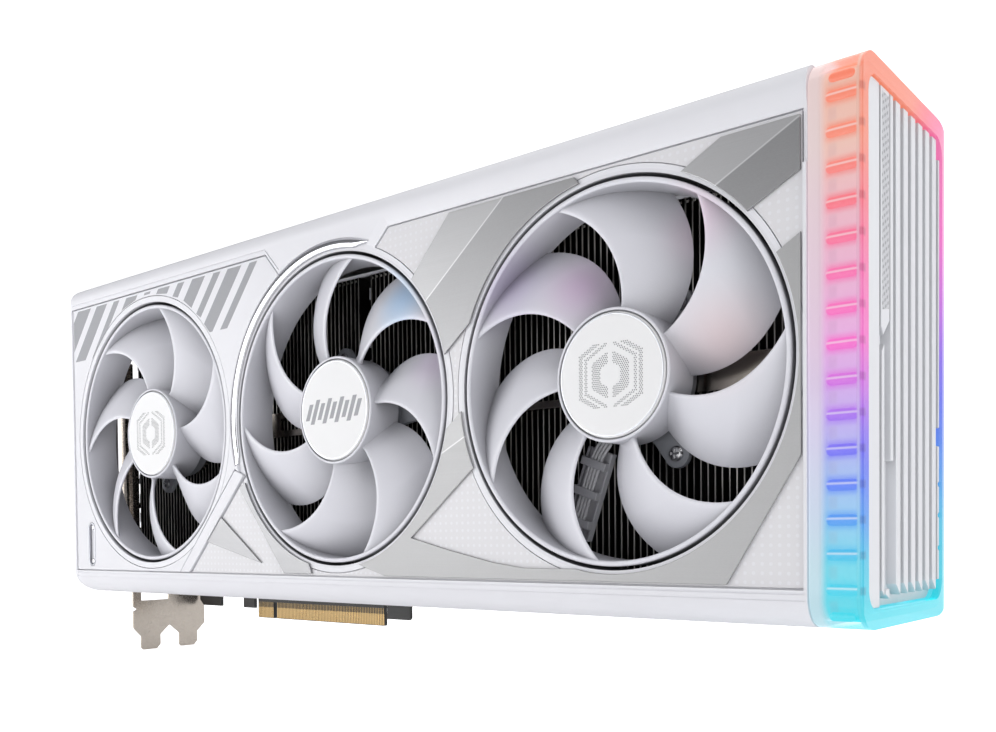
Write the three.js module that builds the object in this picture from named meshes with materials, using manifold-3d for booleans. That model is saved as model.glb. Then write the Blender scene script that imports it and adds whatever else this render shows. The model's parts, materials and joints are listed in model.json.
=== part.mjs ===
// A triple-fan, three-and-a-half-slot graphics card, built as an assembly of separate solids.
// Frame: +X from the I/O bracket to the lit tail end, +Y from the fan side to the backplate, +Z up,
// away from the edge connector. Millimetres. Every piece is drawn in card coordinates, in which X = 0
// is the bracket, Y = 0 the fan side and Z = 0 the lower edge of the front panel. The whole group is
// then moved so that the origin is the middle of the lower face of the long edge contact.
import * as THREE from 'three';
import { mergeVertices } from 'three/addons/utils/BufferGeometryUtils.js';
import Module from 'manifold-3d';

const wasm = await Module();
wasm.setup();

// ---------------------------------------------------------------- driving dimensions

const GAP = 0.3;

const CARD = { left: -0.4, right: 357.6, back: 70, bottom: -0.7, top: 134.3 };

const SHROUD = { right: 344.3, back: 60.5, wall: 2.2, pocketFloor: 2.0, frontInner: 4.2, leftWallBack: 20.4 };

const FAN = {
  xs: [61, 174.5, 288],
  z: 66,
  mouthRadius: 54,
  ductRadius: 55.6,
  ductBack: 16.3,
  rimFronts: [0.3, 1.0, 1.0],
};

const ROTOR = {
  blades: 7,
  ringOuter: 52.3,
  ringInner: 50.8,
  ringFront: 0.8,
  back: 14.5,
  hubRadius: 18.4,
  hubInner: 16.8,
  hubFront: 1.4,
  hubBack: 14.4,
  badgeRadius: 17.2,
  tipAngles: [83, 78.8, 110.5],
  mirrored: [false, true, false],
};

// A blade's leading edge turns from its root angle to its tip angle, in degrees about the fan's axis.
const BLADE = {
  rootRadius: 19,
  tipRadius: 51,
  rootAngle: 84.5,
  tipAngle: 111,
  chordAngle: 35,
  sweepPower: 1.7,
  rootFront: 4,
  tipFront: 2,
  back: 13.4,
  thickness: 1.4,
};

// The fixed base of each fan motor, with three screwed ears.
const MOTOR = {
  radius: 16.8,
  front: 15,
  earFront: 17,
  back: 18.8,
  earRadius: 4,
  earReach: 24,
  firstEars: [-125, 120, -62],
};

const BEARING = { inner: 1.1, outer: 3.6, seat: 3.9, front: 7, back: 16.6 };
const STATOR = { poles: 6, front: 7, back: 14.6 };

const PANEL = { front: 1.0, back: 1.7, bottom: 9.1, right: 343, top: 122.6, clearRadius: 55.9 };
const TRIM = { front: 0.1, back: 0.7, clearRadius: 54.3 };
const LEFT_PANEL = { front: 0.2, left: 1.5, top: 124.5 };
const CRESCENT = { inner: 54.2, outer: 57.2, front: 0, back: 0.7, startAngle: 196.5, endAngle: 70 };

const TAIL = {
  left: 344.6,
  skin: 1.8,
  stripLeft: 346.5,
  stripThickness: 1.6,
  lipLeft: 355.4,
  cornerRadius: 8,
  rearPlanRadius: 8,
  openFront: 4.2,
  openBack: 61,
  openBottom: 4,
  openTop: 129.5,
};
const GRILLE = { baseLeft: 350, baseRight: 354.4, ribRight: 357, pitch: 5.85, ribWidth: 3.4 };

const FINS = { front: 21.5, spineFront: 47, back: 50, bottom: 8, top: 116.5, pitch: 4.4, thickness: 0.7 };
const FIN_STACKS = { left: [18, 166], right: [172, 340] };
const BRACE = { left: 12, right: 338, front: 19.4, back: 21.2, bottom: 61.5, top: 71, padRadius: 16 };
const PIPE = { y: 52.4, halfDepth: 1.9, halfHeight: 4.2, offsets: [-14, 1, 15], reaches: [-34, 4, 34] };
const COLD_PLATE = { half: 36, front: 54.6, back: 56.6, padHalf: 15, padBack: 57.5 };

const BOARD = { left: 2.5, right: 250, front: 62, back: 63.6, bottom: -4, top: 131 };
const CONNECTOR = {
  left: 49.4,
  right: 134.4,
  notchLeft: 61.05,
  notchRight: 62.95,
  notchTop: -7.5,
  bottom: -15,
  contactTop: -9.8,
  contactSkin: 0.15,
};

const BRACKET = {
  outer: -0.6,
  inner: 0.4,
  front: 27.2,
  back: 65.8,
  bottom: -19.7,
  top: 89,
  flangeReach: 11.4,
};
const FOOT = { bottom: -30.4, width: 10.2, centres: [36.2, 56.5] };
const PORT = { centreY: 58.4, height: 6.2, length: 18, zs: [10.6, 27.2, 44.2, 61.6, 79] };

const GPU = { x: 104, z: 62, side: 45, die: 24 };
const SWITCH = { x: 154, width: 9, slider: 3.4, travel: 2, clearance: 0.5 };
const POWER = { x: 205, width: 19.5, front: 49, bottom: 117, top: 132.5, pinPitch: 3, notchHalf: 13 };
const POST = { left: 0.8, right: 4.6, front: 22.4, back: 26.9, bottom: 22, top: 104, ridge: 1.4 };
const BACKPLATE = { left: 2, front: 64.6, skin: 2, windowHalf: 26 };

const DATUM = [
  (CONNECTOR.notchRight + CONNECTOR.right) / 2,
  (BOARD.front + BOARD.back) / 2,
  CONNECTOR.bottom,
];

// ---------------------------------------------------------------- finishes

const finish = (color, roughness, metalness, extra = {}) =>
  new THREE.MeshStandardMaterial({ color, roughness, metalness, ...extra });

const FINISH = {
  whitePlastic: finish(0xe6e6ea, 0.45, 0),
  dottedPlastic: finish(0xe0e0e3, 0.5, 0),
  bladePlastic: finish(0xdcdde2, 0.5, 0),
  silver: finish(0xb4b4b6, 0.35, 0.8),
  darkSilver: finish(0x9c9c9e, 0.35, 0.8),
  chrome: finish(0xd2d2d6, 0.15, 1),
  lightCover: finish(0xf3c9dd, 0.3, 0, { transparent: true, opacity: 0.6 }),
  ledStrip: finish(0xff9ed2, 0.5, 0),
  blackMetal: finish(0x151516, 0.5, 0.6),
  greyPlastic: finish(0x707276, 0.55, 0),
  copper: finish(0xb87a52, 0.3, 1),
  nickel: finish(0xb4aca5, 0.3, 1),
  steel: finish(0xa8a8aa, 0.3, 1),
  board: finish(0x232321, 0.6, 0),
  gold: finish(0xcda564, 0.3, 1),
  chip: finish(0x2e3032, 0.4, 0),
  blackPlastic: finish(0x1a1a1b, 0.6, 0),
  leadWhite: finish(0xd8d8da, 0.6, 0),
};

// ---------------------------------------------------------------- solids

const radians = (degrees) => (degrees * Math.PI) / 180;

// A closed three.js geometry as a solid that can be joined and cut.
function solidOf(geometry) {
  const source = geometry.index ? geometry.toNonIndexed() : geometry.clone();
  source.deleteAttribute('normal');
  source.deleteAttribute('uv');
  const merged = mergeVertices(source, 1e-4);
  const index = merged.index.array;
  const corners = [];
  for (let i = 0; i < index.length; i += 3) {
    const [a, b, c] = [index[i], index[i + 1], index[i + 2]];
    if (a !== b && b !== c && c !== a) corners.push(a, b, c);
  }
  const vertProperties = merged.attributes.position.array;
  const solid = new wasm.Manifold(
    new wasm.Mesh({ numProp: 3, vertProperties, triVerts: new Uint32Array(corners) }),
  );
  if (solid.volume() > 0) return solid;
  for (let i = 0; i < corners.length; i += 3) [corners[i], corners[i + 1]] = [corners[i + 1], corners[i]];
  return new wasm.Manifold(new wasm.Mesh({ numProp: 3, vertProperties, triVerts: new Uint32Array(corners) }));
}

function geometryOf(solid) {
  const mesh = solid.getMesh();
  const geometry = new THREE.BufferGeometry();
  const positions = new Float32Array(mesh.numVert * 3);
  for (let i = 0; i < mesh.numVert; i++) {
    const start = mesh.numProp * i;
    positions.set(mesh.vertProperties.subarray(start, start + 3), 3 * i);
  }
  geometry.setAttribute('position', new THREE.BufferAttribute(positions, 3));
  geometry.setIndex([...mesh.triVerts]);
  const flat = geometry.toNonIndexed();
  flat.computeVertexNormals();
  return flat;
}

const join = (solids) => solids.reduce((sum, solid) => sum.add(solid));
const cut = (solid, ...tools) => tools.reduce((rest, tool) => rest.subtract(tool), solid);

// A box between two values on each axis.
function block([x0, x1], [y0, y1], [z0, z1]) {
  const geometry = new THREE.BoxGeometry(x1 - x0, y1 - y0, z1 - z0);
  geometry.translate((x0 + x1) / 2, (y0 + y1) / 2, (z0 + z1) / 2);
  return solidOf(geometry);
}

function extrusion(shape, depth, curveSegments) {
  return new THREE.ExtrudeGeometry(shape, { depth, bevelEnabled: false, curveSegments });
}

// An outline drawn in X and Z, with thickness along Y.
function plate(shape, [y0, y1], curveSegments = 12) {
  const geometry = extrusion(shape, y1 - y0, curveSegments);
  geometry.rotateX(Math.PI / 2);
  geometry.translate(0, y1, 0);
  return solidOf(geometry);
}

// An outline drawn in Y and Z, with thickness along X.
function slab(shape, [x0, x1], curveSegments = 6) {
  const geometry = extrusion(shape, x1 - x0, curveSegments);
  geometry.rotateX(Math.PI / 2);
  geometry.rotateZ(Math.PI / 2);
  geometry.translate(x0, 0, 0);
  return solidOf(geometry);
}

// An outline drawn in X and Y, with thickness along Z.
function deck(shape, [z0, z1], curveSegments = 6) {
  const geometry = extrusion(shape, z1 - z0, curveSegments);
  geometry.translate(0, 0, z0);
  return solidOf(geometry);
}

// A profile of (radius, Y) points turned about a fan axis.
function turned(points, x, z, segments) {
  const profile = points.map(([radius, y]) => new THREE.Vector2(radius, y));
  const geometry = new THREE.LatheGeometry(profile, segments);
  geometry.translate(x, 0, z);
  return solidOf(geometry);
}

const disc = (radius, x, z, [y0, y1], segments = 32) =>
  turned([[0, y0], [radius, y0], [radius, y1], [0, y1]], x, z, segments);

const tube = (inner, outer, x, z, [y0, y1], segments = 48) =>
  turned([[inner, y0], [outer, y0], [outer, y1], [inner, y1], [inner, y0]], x, z, segments);

// A round bar or ribbon of the given section swept along a smooth route.
function swept(section, points, steps) {
  const route = new THREE.CatmullRomCurve3(points.map((point) => new THREE.Vector3(...point)));
  return solidOf(new THREE.ExtrudeGeometry(section, { steps, extrudePath: route, bevelEnabled: false }));
}

function roundSection(radiusX, radiusY, sides) {
  const shape = new THREE.Shape();
  for (let i = 0; i < sides; i++) {
    const angle = (2 * Math.PI * (i + 0.5)) / sides;
    const place = [radiusX * Math.cos(angle), radiusY * Math.sin(angle)];
    if (i === 0) shape.moveTo(...place);
    else shape.lineTo(...place);
  }
  return shape;
}

// ---------------------------------------------------------------- outlines

function polygon(points) {
  const shape = new THREE.Shape();
  points.forEach(([a, b], i) => (i === 0 ? shape.moveTo(a, b) : shape.lineTo(a, b)));
  return shape;
}

const rectangle = ([a0, a1], [b0, b1]) => polygon([[a0, b0], [a1, b0], [a1, b1], [a0, b1]]);

// A rectangle whose four corners have their own radii: low-low, high-low, high-high, low-high.
function roundedRectangle([a0, a1], [b0, b1], [r0, r1, r2, r3]) {
  const shape = new THREE.Shape();
  shape.moveTo(a0 + r0, b0);
  shape.lineTo(a1 - r1, b0);
  if (r1) shape.absarc(a1 - r1, b0 + r1, r1, -Math.PI / 2, 0, false);
  shape.lineTo(a1, b1 - r2);
  if (r2) shape.absarc(a1 - r2, b1 - r2, r2, 0, Math.PI / 2, false);
  shape.lineTo(a0 + r3, b1);
  if (r3) shape.absarc(a0 + r3, b1 - r3, r3, Math.PI / 2, Math.PI, false);
  shape.lineTo(a0, b0 + r0);
  if (r0) shape.absarc(a0 + r0, b0 + r0, r0, Math.PI, 1.5 * Math.PI, false);
  return shape;
}

// Points on an arc about one fan's axis, from one angle to another in degrees.
function rimPoints(fan, radius, from, to) {
  const steps = Math.max(2, Math.round(Math.abs(to - from) / 7.5));
  const points = [];
  for (let i = 0; i <= steps; i++) {
    const angle = radians(from + ((to - from) * i) / steps);
    points.push([FAN.xs[fan] + radius * Math.cos(angle), FAN.z + radius * Math.sin(angle)]);
  }
  return points;
}

// The left white panel, from the bracket end to the middle fan and the diagonal beam.
function leftPanelOutline(grow) {
  const radius = CRESCENT.outer + GAP - grow;
  return polygon([
    [LEFT_PANEL.left - grow, PANEL.bottom - grow],
    [81.8 + grow, PANEL.bottom - grow],
    [118.9, 48.2 - grow],
    ...rimPoints(1, radius, 197.2, 118.6 - 1.5 * grow),
    [139.6 + grow, LEFT_PANEL.top + grow],
    [LEFT_PANEL.left - grow, LEFT_PANEL.top + grow],
  ]);
}

// The dotted panel, from the diagonal beam round the middle and right fans to the tail.
function dottedPanelOutline(grow) {
  const radius = PANEL.clearRadius - grow;
  return polygon([
    [88.9 - grow, PANEL.bottom - grow],
    [PANEL.right + grow, PANEL.bottom - grow],
    [PANEL.right + grow, PANEL.top + grow],
    [202.8 - grow, PANEL.top + grow],
    ...rimPoints(1, radius, 66.4 + 2 * grow, -157.5),
  ]);
}

// ---------------------------------------------------------------- housing

function shroudShell() {
  const height = [CARD.bottom, CARD.top];
  const section = roundedRectangle([0, SHROUD.back], height, [8, 0, 0, 6]);
  const elevation = roundedRectangle([CARD.left, SHROUD.right], height, [9, 0.5, 0.5, 5]);
  const along = slab(section, [CARD.left, SHROUD.right], 4);
  const outside = along.intersect(plate(elevation, [-1, SHROUD.back + 1], 4));
  const inside = block(
    [CARD.left + SHROUD.wall, SHROUD.right - SHROUD.wall],
    [SHROUD.frontInner, SHROUD.back + 1],
    [CARD.bottom + SHROUD.wall, CARD.top - SHROUD.wall],
  );
  const behindLeftWall = [SHROUD.leftWallBack, SHROUD.back + 1];
  const leftOpening = block([CARD.left - 1, CARD.left + 3], behindLeftWall, [1.5, 126]);
  const bracketSlot = block([CARD.left - 1, BRACKET.inner + 0.5], behindLeftWall, [-2, 2]);
  const rightOpening = block([SHROUD.right - 3, SHROUD.right + 1], [8, SHROUD.back - 2.5], [10, 124]);
  return cut(outside, inside, leftOpening, bracketSlot, rightOpening);
}

// Slanted air slots in the long upper side and plain windows in the lower side.
function shroudVents() {
  const slots = [];
  const above = [CARD.top - 4, CARD.top + 1];
  const groups = [[24, 7], [242, 7]];
  for (const [start, count] of groups) {
    for (let i = 0; i < count; i++) {
      const x = start + 12 * i;
      slots.push(deck(polygon([[x, 44], [x + 6, 44], [x + 16, 16], [x + 10, 16]]), above));
    }
  }
  const below = [CARD.bottom - 1, CARD.bottom + 4];
  for (let i = 0; i < 5; i++) slots.push(block([24 + 62 * i, 72 + 62 * i], [16, 46], below));
  slots.push(block([POWER.x - POWER.notchHalf, POWER.x + POWER.notchHalf], [46, SHROUD.back + 1], above));
  slots.push(block([SWITCH.x - 7.5, SWITCH.x + 7.5], [55, SHROUD.back + 1], above));
  return slots;
}

function frontShroud() {
  const pockets = [leftPanelOutline(0.4), dottedPanelOutline(0.4)];
  const sunk = pockets.map((outline) => plate(outline, [-1, SHROUD.pocketFloor]));
  const beamSeat = plate(beamOutline(0.4), [-1, SHROUD.pocketFloor]);
  const crescentSeat = plate(crescentOutline(0.3), [-1, CRESCENT.back + GAP]);
  const slopeSection = polygon([[-1, 122], [0.9, 122], [0.9, 123], [0, 127], [-1, 127]]);
  const slope = slab(slopeSection, [203, SHROUD.right + 1]);
  const rimSeat = disc(PANEL.clearRadius, FAN.xs[1], FAN.z, [-1, FAN.rimFronts[1]], 48);
  let shell = cut(shroudShell(), ...sunk, crescentSeat, rimSeat, slope, ...shroudVents());
  FAN.xs.forEach((x, fan) => {
    const depth = [FAN.rimFronts[fan], FAN.ductBack];
    shell = shell.add(tube(FAN.mouthRadius - 0.5, FAN.ductRadius, x, FAN.z, depth, 48));
    shell = shell.subtract(disc(FAN.mouthRadius, x, FAN.z, [-1, FAN.ductBack + 1], 48));
  });
  return shell.subtract(beamSeat);
}

function leftPanel() {
  const slot = roundedRectangle([11, 17], [10.6, 30], [2.9, 2.9, 2.9, 2.9]);
  return cut(
    plate(leftPanelOutline(0), [LEFT_PANEL.front, PANEL.back]),
    disc(PANEL.clearRadius, FAN.xs[0], FAN.z, [-1, 3], 48),
    plate(slot, [-1, 3], 6),
  );
}

function dottedPanel() {
  return cut(
    plate(dottedPanelOutline(0), [PANEL.front, PANEL.back]),
    disc(PANEL.clearRadius, FAN.xs[2], FAN.z, [-1, 3], 48),
    plate(beamOutline(GAP), [-1, 3]),
  );
}

function beamOutline(grow) {
  return polygon([
    [82.1 - grow, PANEL.bottom - grow],
    [88.5 + grow, PANEL.bottom - grow],
    [124.6 + 2 * grow, 46 - grow],
    [119.3 - grow, 48 + 2 * grow],
  ]);
}

function diagonalBeam() {
  const mouths = [0, 1].map((fan) => disc(TRIM.clearRadius, FAN.xs[fan], FAN.z, [-1, 3], 48));
  return cut(plate(beamOutline(0), [TRIM.front, PANEL.back]), ...mouths);
}

function crescentOutline(grow) {
  return polygon([
    ...rimPoints(1, CRESCENT.outer + grow, CRESCENT.startAngle + grow, CRESCENT.endAngle - grow),
    ...rimPoints(1, CRESCENT.inner - grow, CRESCENT.endAngle + 2.5, CRESCENT.startAngle + grow),
  ]);
}

const crescentTrim = () => plate(crescentOutline(0), [CRESCENT.front, CRESCENT.back]);

const trimPlate = (points) => plate(polygon(points), [TRIM.front, TRIM.back]);

const triangleTrim = () => trimPlate([[110.2, 30.3], [101, 21], [134.5, 13.2]]);

const bandTrim = () =>
  trimPlate([[121.6, 41.3], [147.5, 9.7], [162.8, 9.7], ...rimPoints(1, TRIM.clearRadius, 256, 205)]);

const upperTrim = () =>
  trimPlate([
    [230, 121.6],
    [277, 121.6],
    ...rimPoints(2, TRIM.clearRadius, 99.8, 157.4),
    ...rimPoints(1, TRIM.clearRadius, 13.4, 44.3),
  ]);

const lowerTrim = () =>
  trimPlate([
    ...rimPoints(2, TRIM.clearRadius, 185.8, 205),
    [212, 22],
    [228, 18.2],
    [246, 14.5],
    [258, 13],
    ...rimPoints(2, TRIM.clearRadius, 257.5, 386.5),
    [342.8, 94],
    [342.8, 41.2],
    [323, 9.6],
    [199.5, 9.6],
    ...rimPoints(1, TRIM.clearRadius, -76.6, -10.9),
  ]);

const cornerTrim = () =>
  trimPlate([[342.7, 108.7], [342.7, 121.6], [322, 121.4], ...rimPoints(2, TRIM.clearRadius, 65.5, 40.9)]);

// ---------------------------------------------------------------- tail

// The tail's outline in Y and Z, a given depth in from its outer skin.
function tailOutline(depth) {
  const radius = TAIL.cornerRadius - depth;
  return roundedRectangle(
    [depth, CARD.back - depth],
    [CARD.bottom + depth, CARD.top - depth],
    [radius, radius, radius, radius],
  );
}

// A closed loop round the card between two outlines.
const tailLoop = (outer, inner, [x0, x1]) =>
  slab(outer, [x0, x1], 4).subtract(slab(inner, [x0 - 1, x1 + 1], 4));

function lightCover() {
  const opening = roundedRectangle(
    [TAIL.openFront, TAIL.openBack],
    [TAIL.openBottom, TAIL.openTop],
    [5.3, 5.3, 5.3, 5.3],
  );
  const side = tailLoop(tailOutline(0), tailOutline(TAIL.skin), [TAIL.left, TAIL.lipLeft + 0.5]);
  const lip = tailLoop(tailOutline(0), opening, [TAIL.lipLeft, CARD.right]);
  const plan = roundedRectangle(
    [TAIL.left - 1, CARD.right],
    [0, CARD.back],
    [0, 1.2, TAIL.rearPlanRadius, 0],
  );
  return side.add(lip).intersect(deck(plan, [CARD.bottom - 1, CARD.top + 1], 3));
}

function ledStrip() {
  const depth = TAIL.skin + GAP;
  const plan = roundedRectangle([TAIL.left, TAIL.lipLeft - GAP], [depth, CARD.back - depth], [0, 0.5, 8, 0]);
  const inner = tailOutline(depth + TAIL.stripThickness);
  const loop = tailLoop(tailOutline(depth), inner, [TAIL.stripLeft, TAIL.lipLeft - GAP]);
  return loop.intersect(deck(plan, [CARD.bottom - 1, CARD.top + 1], 3));
}

// The tail's inner panel: a smooth strip, a textured strip, a window, ribs and a screw strip.
function tailGrille() {
  const [front, back] = [TAIL.openFront + GAP, TAIL.openBack - GAP];
  const [bottom, top] = [TAIL.openBottom + GAP, TAIL.openTop - GAP];
  const base = block([GRILLE.baseLeft, GRILLE.baseRight], [front, back], [bottom, top]);
  const pieces = [base];
  const raised = [GRILLE.baseRight - 0.5, GRILLE.ribRight];
  pieces.push(slab(polygon([[front, bottom], [13.4, bottom], [13.4, top], [front, top]]), raised));
  pieces.push(slab(polygon([[14.4, 72], [16, 70], [20.4, 74], [20.4, top], [14.4, top]]), raised));
  pieces.push(block(raised, [14.9, 16.8], [bottom + 4, 68]));
  pieces.push(block(raised, [21.1, 23.2], [40, top]));
  for (let i = 0; i < 6; i++) {
    const y = 25.1 + GRILLE.pitch * i;
    pieces.push(block(raised, [y, y + GRILLE.ribWidth], [bottom + 2.2, top]));
  }
  pieces.push(block(raised, [59.2, back], [bottom, 46]));
  pieces.push(block(raised, [59.8, back], [51, top]));
  const window = block([GRILLE.baseRight - 2, GRILLE.ribRight], [17.4, 23.6], [9, 39]);
  const holes = [35.5, 27, 18].map((z) =>
    block([GRILLE.ribRight - 3, GRILLE.ribRight + 1], [59.8, 60.3], [z - 0.9, z + 0.9]));
  const rounded = roundedRectangle([front, back], [bottom, top], [5, 5, 5, 5]);
  const trimmed = join(pieces).intersect(slab(rounded, [GRILLE.baseLeft - 1, GRILLE.ribRight + 1], 4));
  return cut(trimmed, window, ...holes);
}

// ---------------------------------------------------------------- fans

// One blade's leading edge angle at a radius, swept forwards towards the tip.
function leadingAngle(radius) {
  const along = Math.max(0, (radius - BLADE.rootRadius) / (BLADE.tipRadius - BLADE.rootRadius));
  return BLADE.rootAngle + (BLADE.tipAngle - BLADE.rootAngle) * along ** BLADE.sweepPower;
}

// A point on the blade's middle surface: radius, share of the chord from the leading edge.
function bladePoint(radius, share, offset, turn, mirrored) {
  const span = BLADE.tipRadius - BLADE.rootRadius;
  const along = Math.min(1, Math.max(0, (radius - BLADE.rootRadius) / span));
  const front = BLADE.rootFront + (BLADE.tipFront - BLADE.rootFront) * along;
  const y = front + (BLADE.back - front) * (0.6 * share + 0.4 * share * share) + offset;
  const drawn = leadingAngle(radius) - BLADE.chordAngle * share - BLADE.tipAngle;
  const angle = radians(turn + (mirrored ? -drawn : drawn));
  return [radius * Math.cos(angle), y, radius * Math.sin(angle)];
}

function blade(turn, mirrored) {
  const radii = [17.6, 24, 32, 41.5, 51.3];
  const shares = [0, 0.12, 0.5, 1];
  const half = [0.3, 0.5, 0.5, 0.3].map((part) => part * BLADE.thickness);
  const points = [];
  for (const side of [-1, 1]) {
    for (const radius of radii) {
      shares.forEach((share, j) => points.push(...bladePoint(radius, share, side * half[j], turn, mirrored)));
    }
  }
  const wide = shares.length;
  const sheet = radii.length * wide;
  const at = (side, i, j) => side * sheet + i * wide + j;
  const index = [];
  const quad = (a, b, c, d) => index.push(a, b, c, a, c, d);
  for (let i = 0; i < radii.length - 1; i++) {
    for (let j = 0; j < wide - 1; j++) {
      quad(at(0, i, j), at(0, i, j + 1), at(0, i + 1, j + 1), at(0, i + 1, j));
      quad(at(1, i, j), at(1, i + 1, j), at(1, i + 1, j + 1), at(1, i, j + 1));
    }
    quad(at(0, i, 0), at(0, i + 1, 0), at(1, i + 1, 0), at(1, i, 0));
    quad(at(0, i, wide - 1), at(1, i, wide - 1), at(1, i + 1, wide - 1), at(0, i + 1, wide - 1));
  }
  for (let j = 0; j < wide - 1; j++) {
    const end = radii.length - 1;
    quad(at(0, 0, j), at(1, 0, j), at(1, 0, j + 1), at(0, 0, j + 1));
    quad(at(0, end, j), at(0, end, j + 1), at(1, end, j + 1), at(1, end, j));
  }
  const geometry = new THREE.BufferGeometry();
  geometry.setAttribute('position', new THREE.Float32BufferAttribute(points, 3));
  geometry.setIndex(index);
  return geometry;
}

// Hub cup, blades and outer ring in one moulding. The hub has a boss that holds the shaft.
function rotor(fan) {
  const x = FAN.xs[fan];
  const hub = turned(
    [
      [0, 2.6],
      [ROTOR.badgeRadius + GAP, 2.6],
      [ROTOR.badgeRadius + GAP, ROTOR.hubFront],
      [ROTOR.hubRadius - 0.5, ROTOR.hubFront],
      [ROTOR.hubRadius, ROTOR.hubFront + 0.7],
      [ROTOR.hubRadius, ROTOR.hubBack],
      [ROTOR.hubInner, ROTOR.hubBack],
      [ROTOR.hubInner, 4.2],
      [3, 4.2],
      [3, 6.4],
      [1.3, 6.4],
      [1.3, 3.4],
      [0, 3.4],
    ],
    x,
    FAN.z,
    24,
  );
  const ring = turned(
    [
      [ROTOR.ringInner, ROTOR.ringFront],
      [ROTOR.ringOuter, ROTOR.ringFront],
      [ROTOR.ringOuter, ROTOR.back],
      [ROTOR.ringInner, ROTOR.back],
      [ROTOR.ringInner, ROTOR.ringFront],
    ],
    x,
    FAN.z,
    44,
  );
  const blades = [];
  for (let i = 0; i < ROTOR.blades; i++) {
    const turn = ROTOR.tipAngles[fan] + (360 / ROTOR.blades) * i;
    const geometry = blade(turn, ROTOR.mirrored[fan]);
    geometry.translate(x, 0, FAN.z);
    blades.push(solidOf(geometry));
  }
  return join([hub, ring, ...blades]);
}

const hubBadge = (fan) => disc(ROTOR.badgeRadius, FAN.xs[fan], FAN.z, [1.1, 2.3], 24);

const shaft = (fan) => disc(1, FAN.xs[fan], FAN.z, [3.7, 16.4], 12);

const bearing = (fan) =>
  tube(BEARING.inner, BEARING.outer, FAN.xs[fan], FAN.z, [BEARING.front, BEARING.back], 12);

// A laminated core with six poles.
function stator(fan) {
  const outline = new THREE.Shape();
  for (let i = 0; i < STATOR.poles; i++) {
    const centre = (360 / STATOR.poles) * i;
    const corners = [[-7, 8], [-7, 11.6], [-16, 12], [-14, 14.6], [14, 14.6], [16, 12], [7, 11.6], [7, 8]];
    corners.forEach(([angle, radius], j) => {
      const place = [radius * Math.cos(radians(centre + angle)), radius * Math.sin(radians(centre + angle))];
      if (i === 0 && j === 0) outline.moveTo(...place);
      else outline.lineTo(...place);
    });
  }
  const core = plate(outline, [STATOR.front, STATOR.back]).translate([FAN.xs[fan], 0, FAN.z]);
  return core.subtract(disc(BEARING.seat, FAN.xs[fan], FAN.z, [STATOR.front - 1, STATOR.back + 1], 12));
}

// The fixed base of a fan motor: a disc, a socket for the bearing and three screwed ears.
function motorMount(fan) {
  const x = FAN.xs[fan];
  const earDepth = [MOTOR.earFront, MOTOR.back];
  const pieces = [disc(MOTOR.radius, x, FAN.z, [MOTOR.front, MOTOR.back], 24)];
  for (let i = 0; i < 3; i++) {
    const angle = radians(MOTOR.firstEars[fan] + 120 * i);
    const [cos, sin] = [Math.cos(angle), Math.sin(angle)];
    const [cx, cz] = [x + MOTOR.earReach * cos, FAN.z + MOTOR.earReach * sin];
    const [sideX, sideZ] = [-MOTOR.earRadius * sin, MOTOR.earRadius * cos];
    const [innerX, innerZ] = [x + (MOTOR.earReach / 2) * cos, FAN.z + (MOTOR.earReach / 2) * sin];
    const arm = polygon([
      [cx + sideX, cz + sideZ],
      [cx - sideX, cz - sideZ],
      [innerX - 1.6 * sideX, innerZ - 1.6 * sideZ],
      [innerX + 1.6 * sideX, innerZ + 1.6 * sideZ],
    ]);
    pieces.push(plate(arm, earDepth), disc(MOTOR.earRadius, cx, cz, earDepth, 12));
  }
  return cut(join(pieces), disc(BEARING.seat, x, FAN.z, [MOTOR.front - 1, BEARING.back + GAP], 12));
}

const LEAD_ROUTES = [
  [
    [70, 17.6, 84], [73, 18.2, 92], [77, 18.6, 106], [80, 20, 119],
    [80, 30, 122], [80, 46, 122], [80, 58.7, 122],
  ],
  [
    [186, 17.6, 51], [189, 18.4, 42], [194, 18.6, 26], [197, 18.6, 10],
    [198, 22, 4.6], [200, 40, 4.6], [202, 58.7, 5.4],
  ],
  [
    [276, 17.4, 50], [271.5, 18, 44], [264.6, 18.2, 26], [258, 18.4, 10],
    [252, 24, 4.6], [244, 42, 4.6], [238, 58.7, 5.4],
  ],
];

// The four-wire lead of each fan, from its motor base to its header on the board.
function fanLead(fan) {
  return swept(roundSection(0.9, 2.4, 6), LEAD_ROUTES[fan], 16);
}

// A moulded strip under the right fan that holds its lead against the fins.
function cableGuide() {
  const along = new THREE.Vector2(-8.6, -24).normalize();
  const across = [-along.y * 4.6, along.x * 4.6];
  const start = [272.5, 47.5];
  const end = [263.3, 22];
  const strip = polygon([
    [start[0] + across[0], start[1] + across[1]],
    [start[0] - across[0], start[1] - across[1]],
    [end[0] - across[0], end[1] - across[1]],
    [end[0] + across[0], end[1] + across[1]],
  ]);
  return plate(strip, [20, 21.2]);
}

// ---------------------------------------------------------------- cooler

// A stack of upright fins on one spine.
function finStack([left, right]) {
  const count = Math.floor((right - left - FINS.thickness) / FINS.pitch) + 1;
  const step = (right - left - FINS.thickness) / (count - 1);
  const points = [[left, FINS.back]];
  for (let i = 0; i < count; i++) {
    const x = left + step * i;
    const last = i === count - 1;
    points.push([x, FINS.front], [x + FINS.thickness, FINS.front]);
    if (!last) points.push([x + FINS.thickness, FINS.spineFront], [x + step, FINS.spineFront]);
  }
  points.push([right, FINS.back]);
  return deck(polygon(points), [FINS.bottom, FINS.top]);
}

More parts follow.
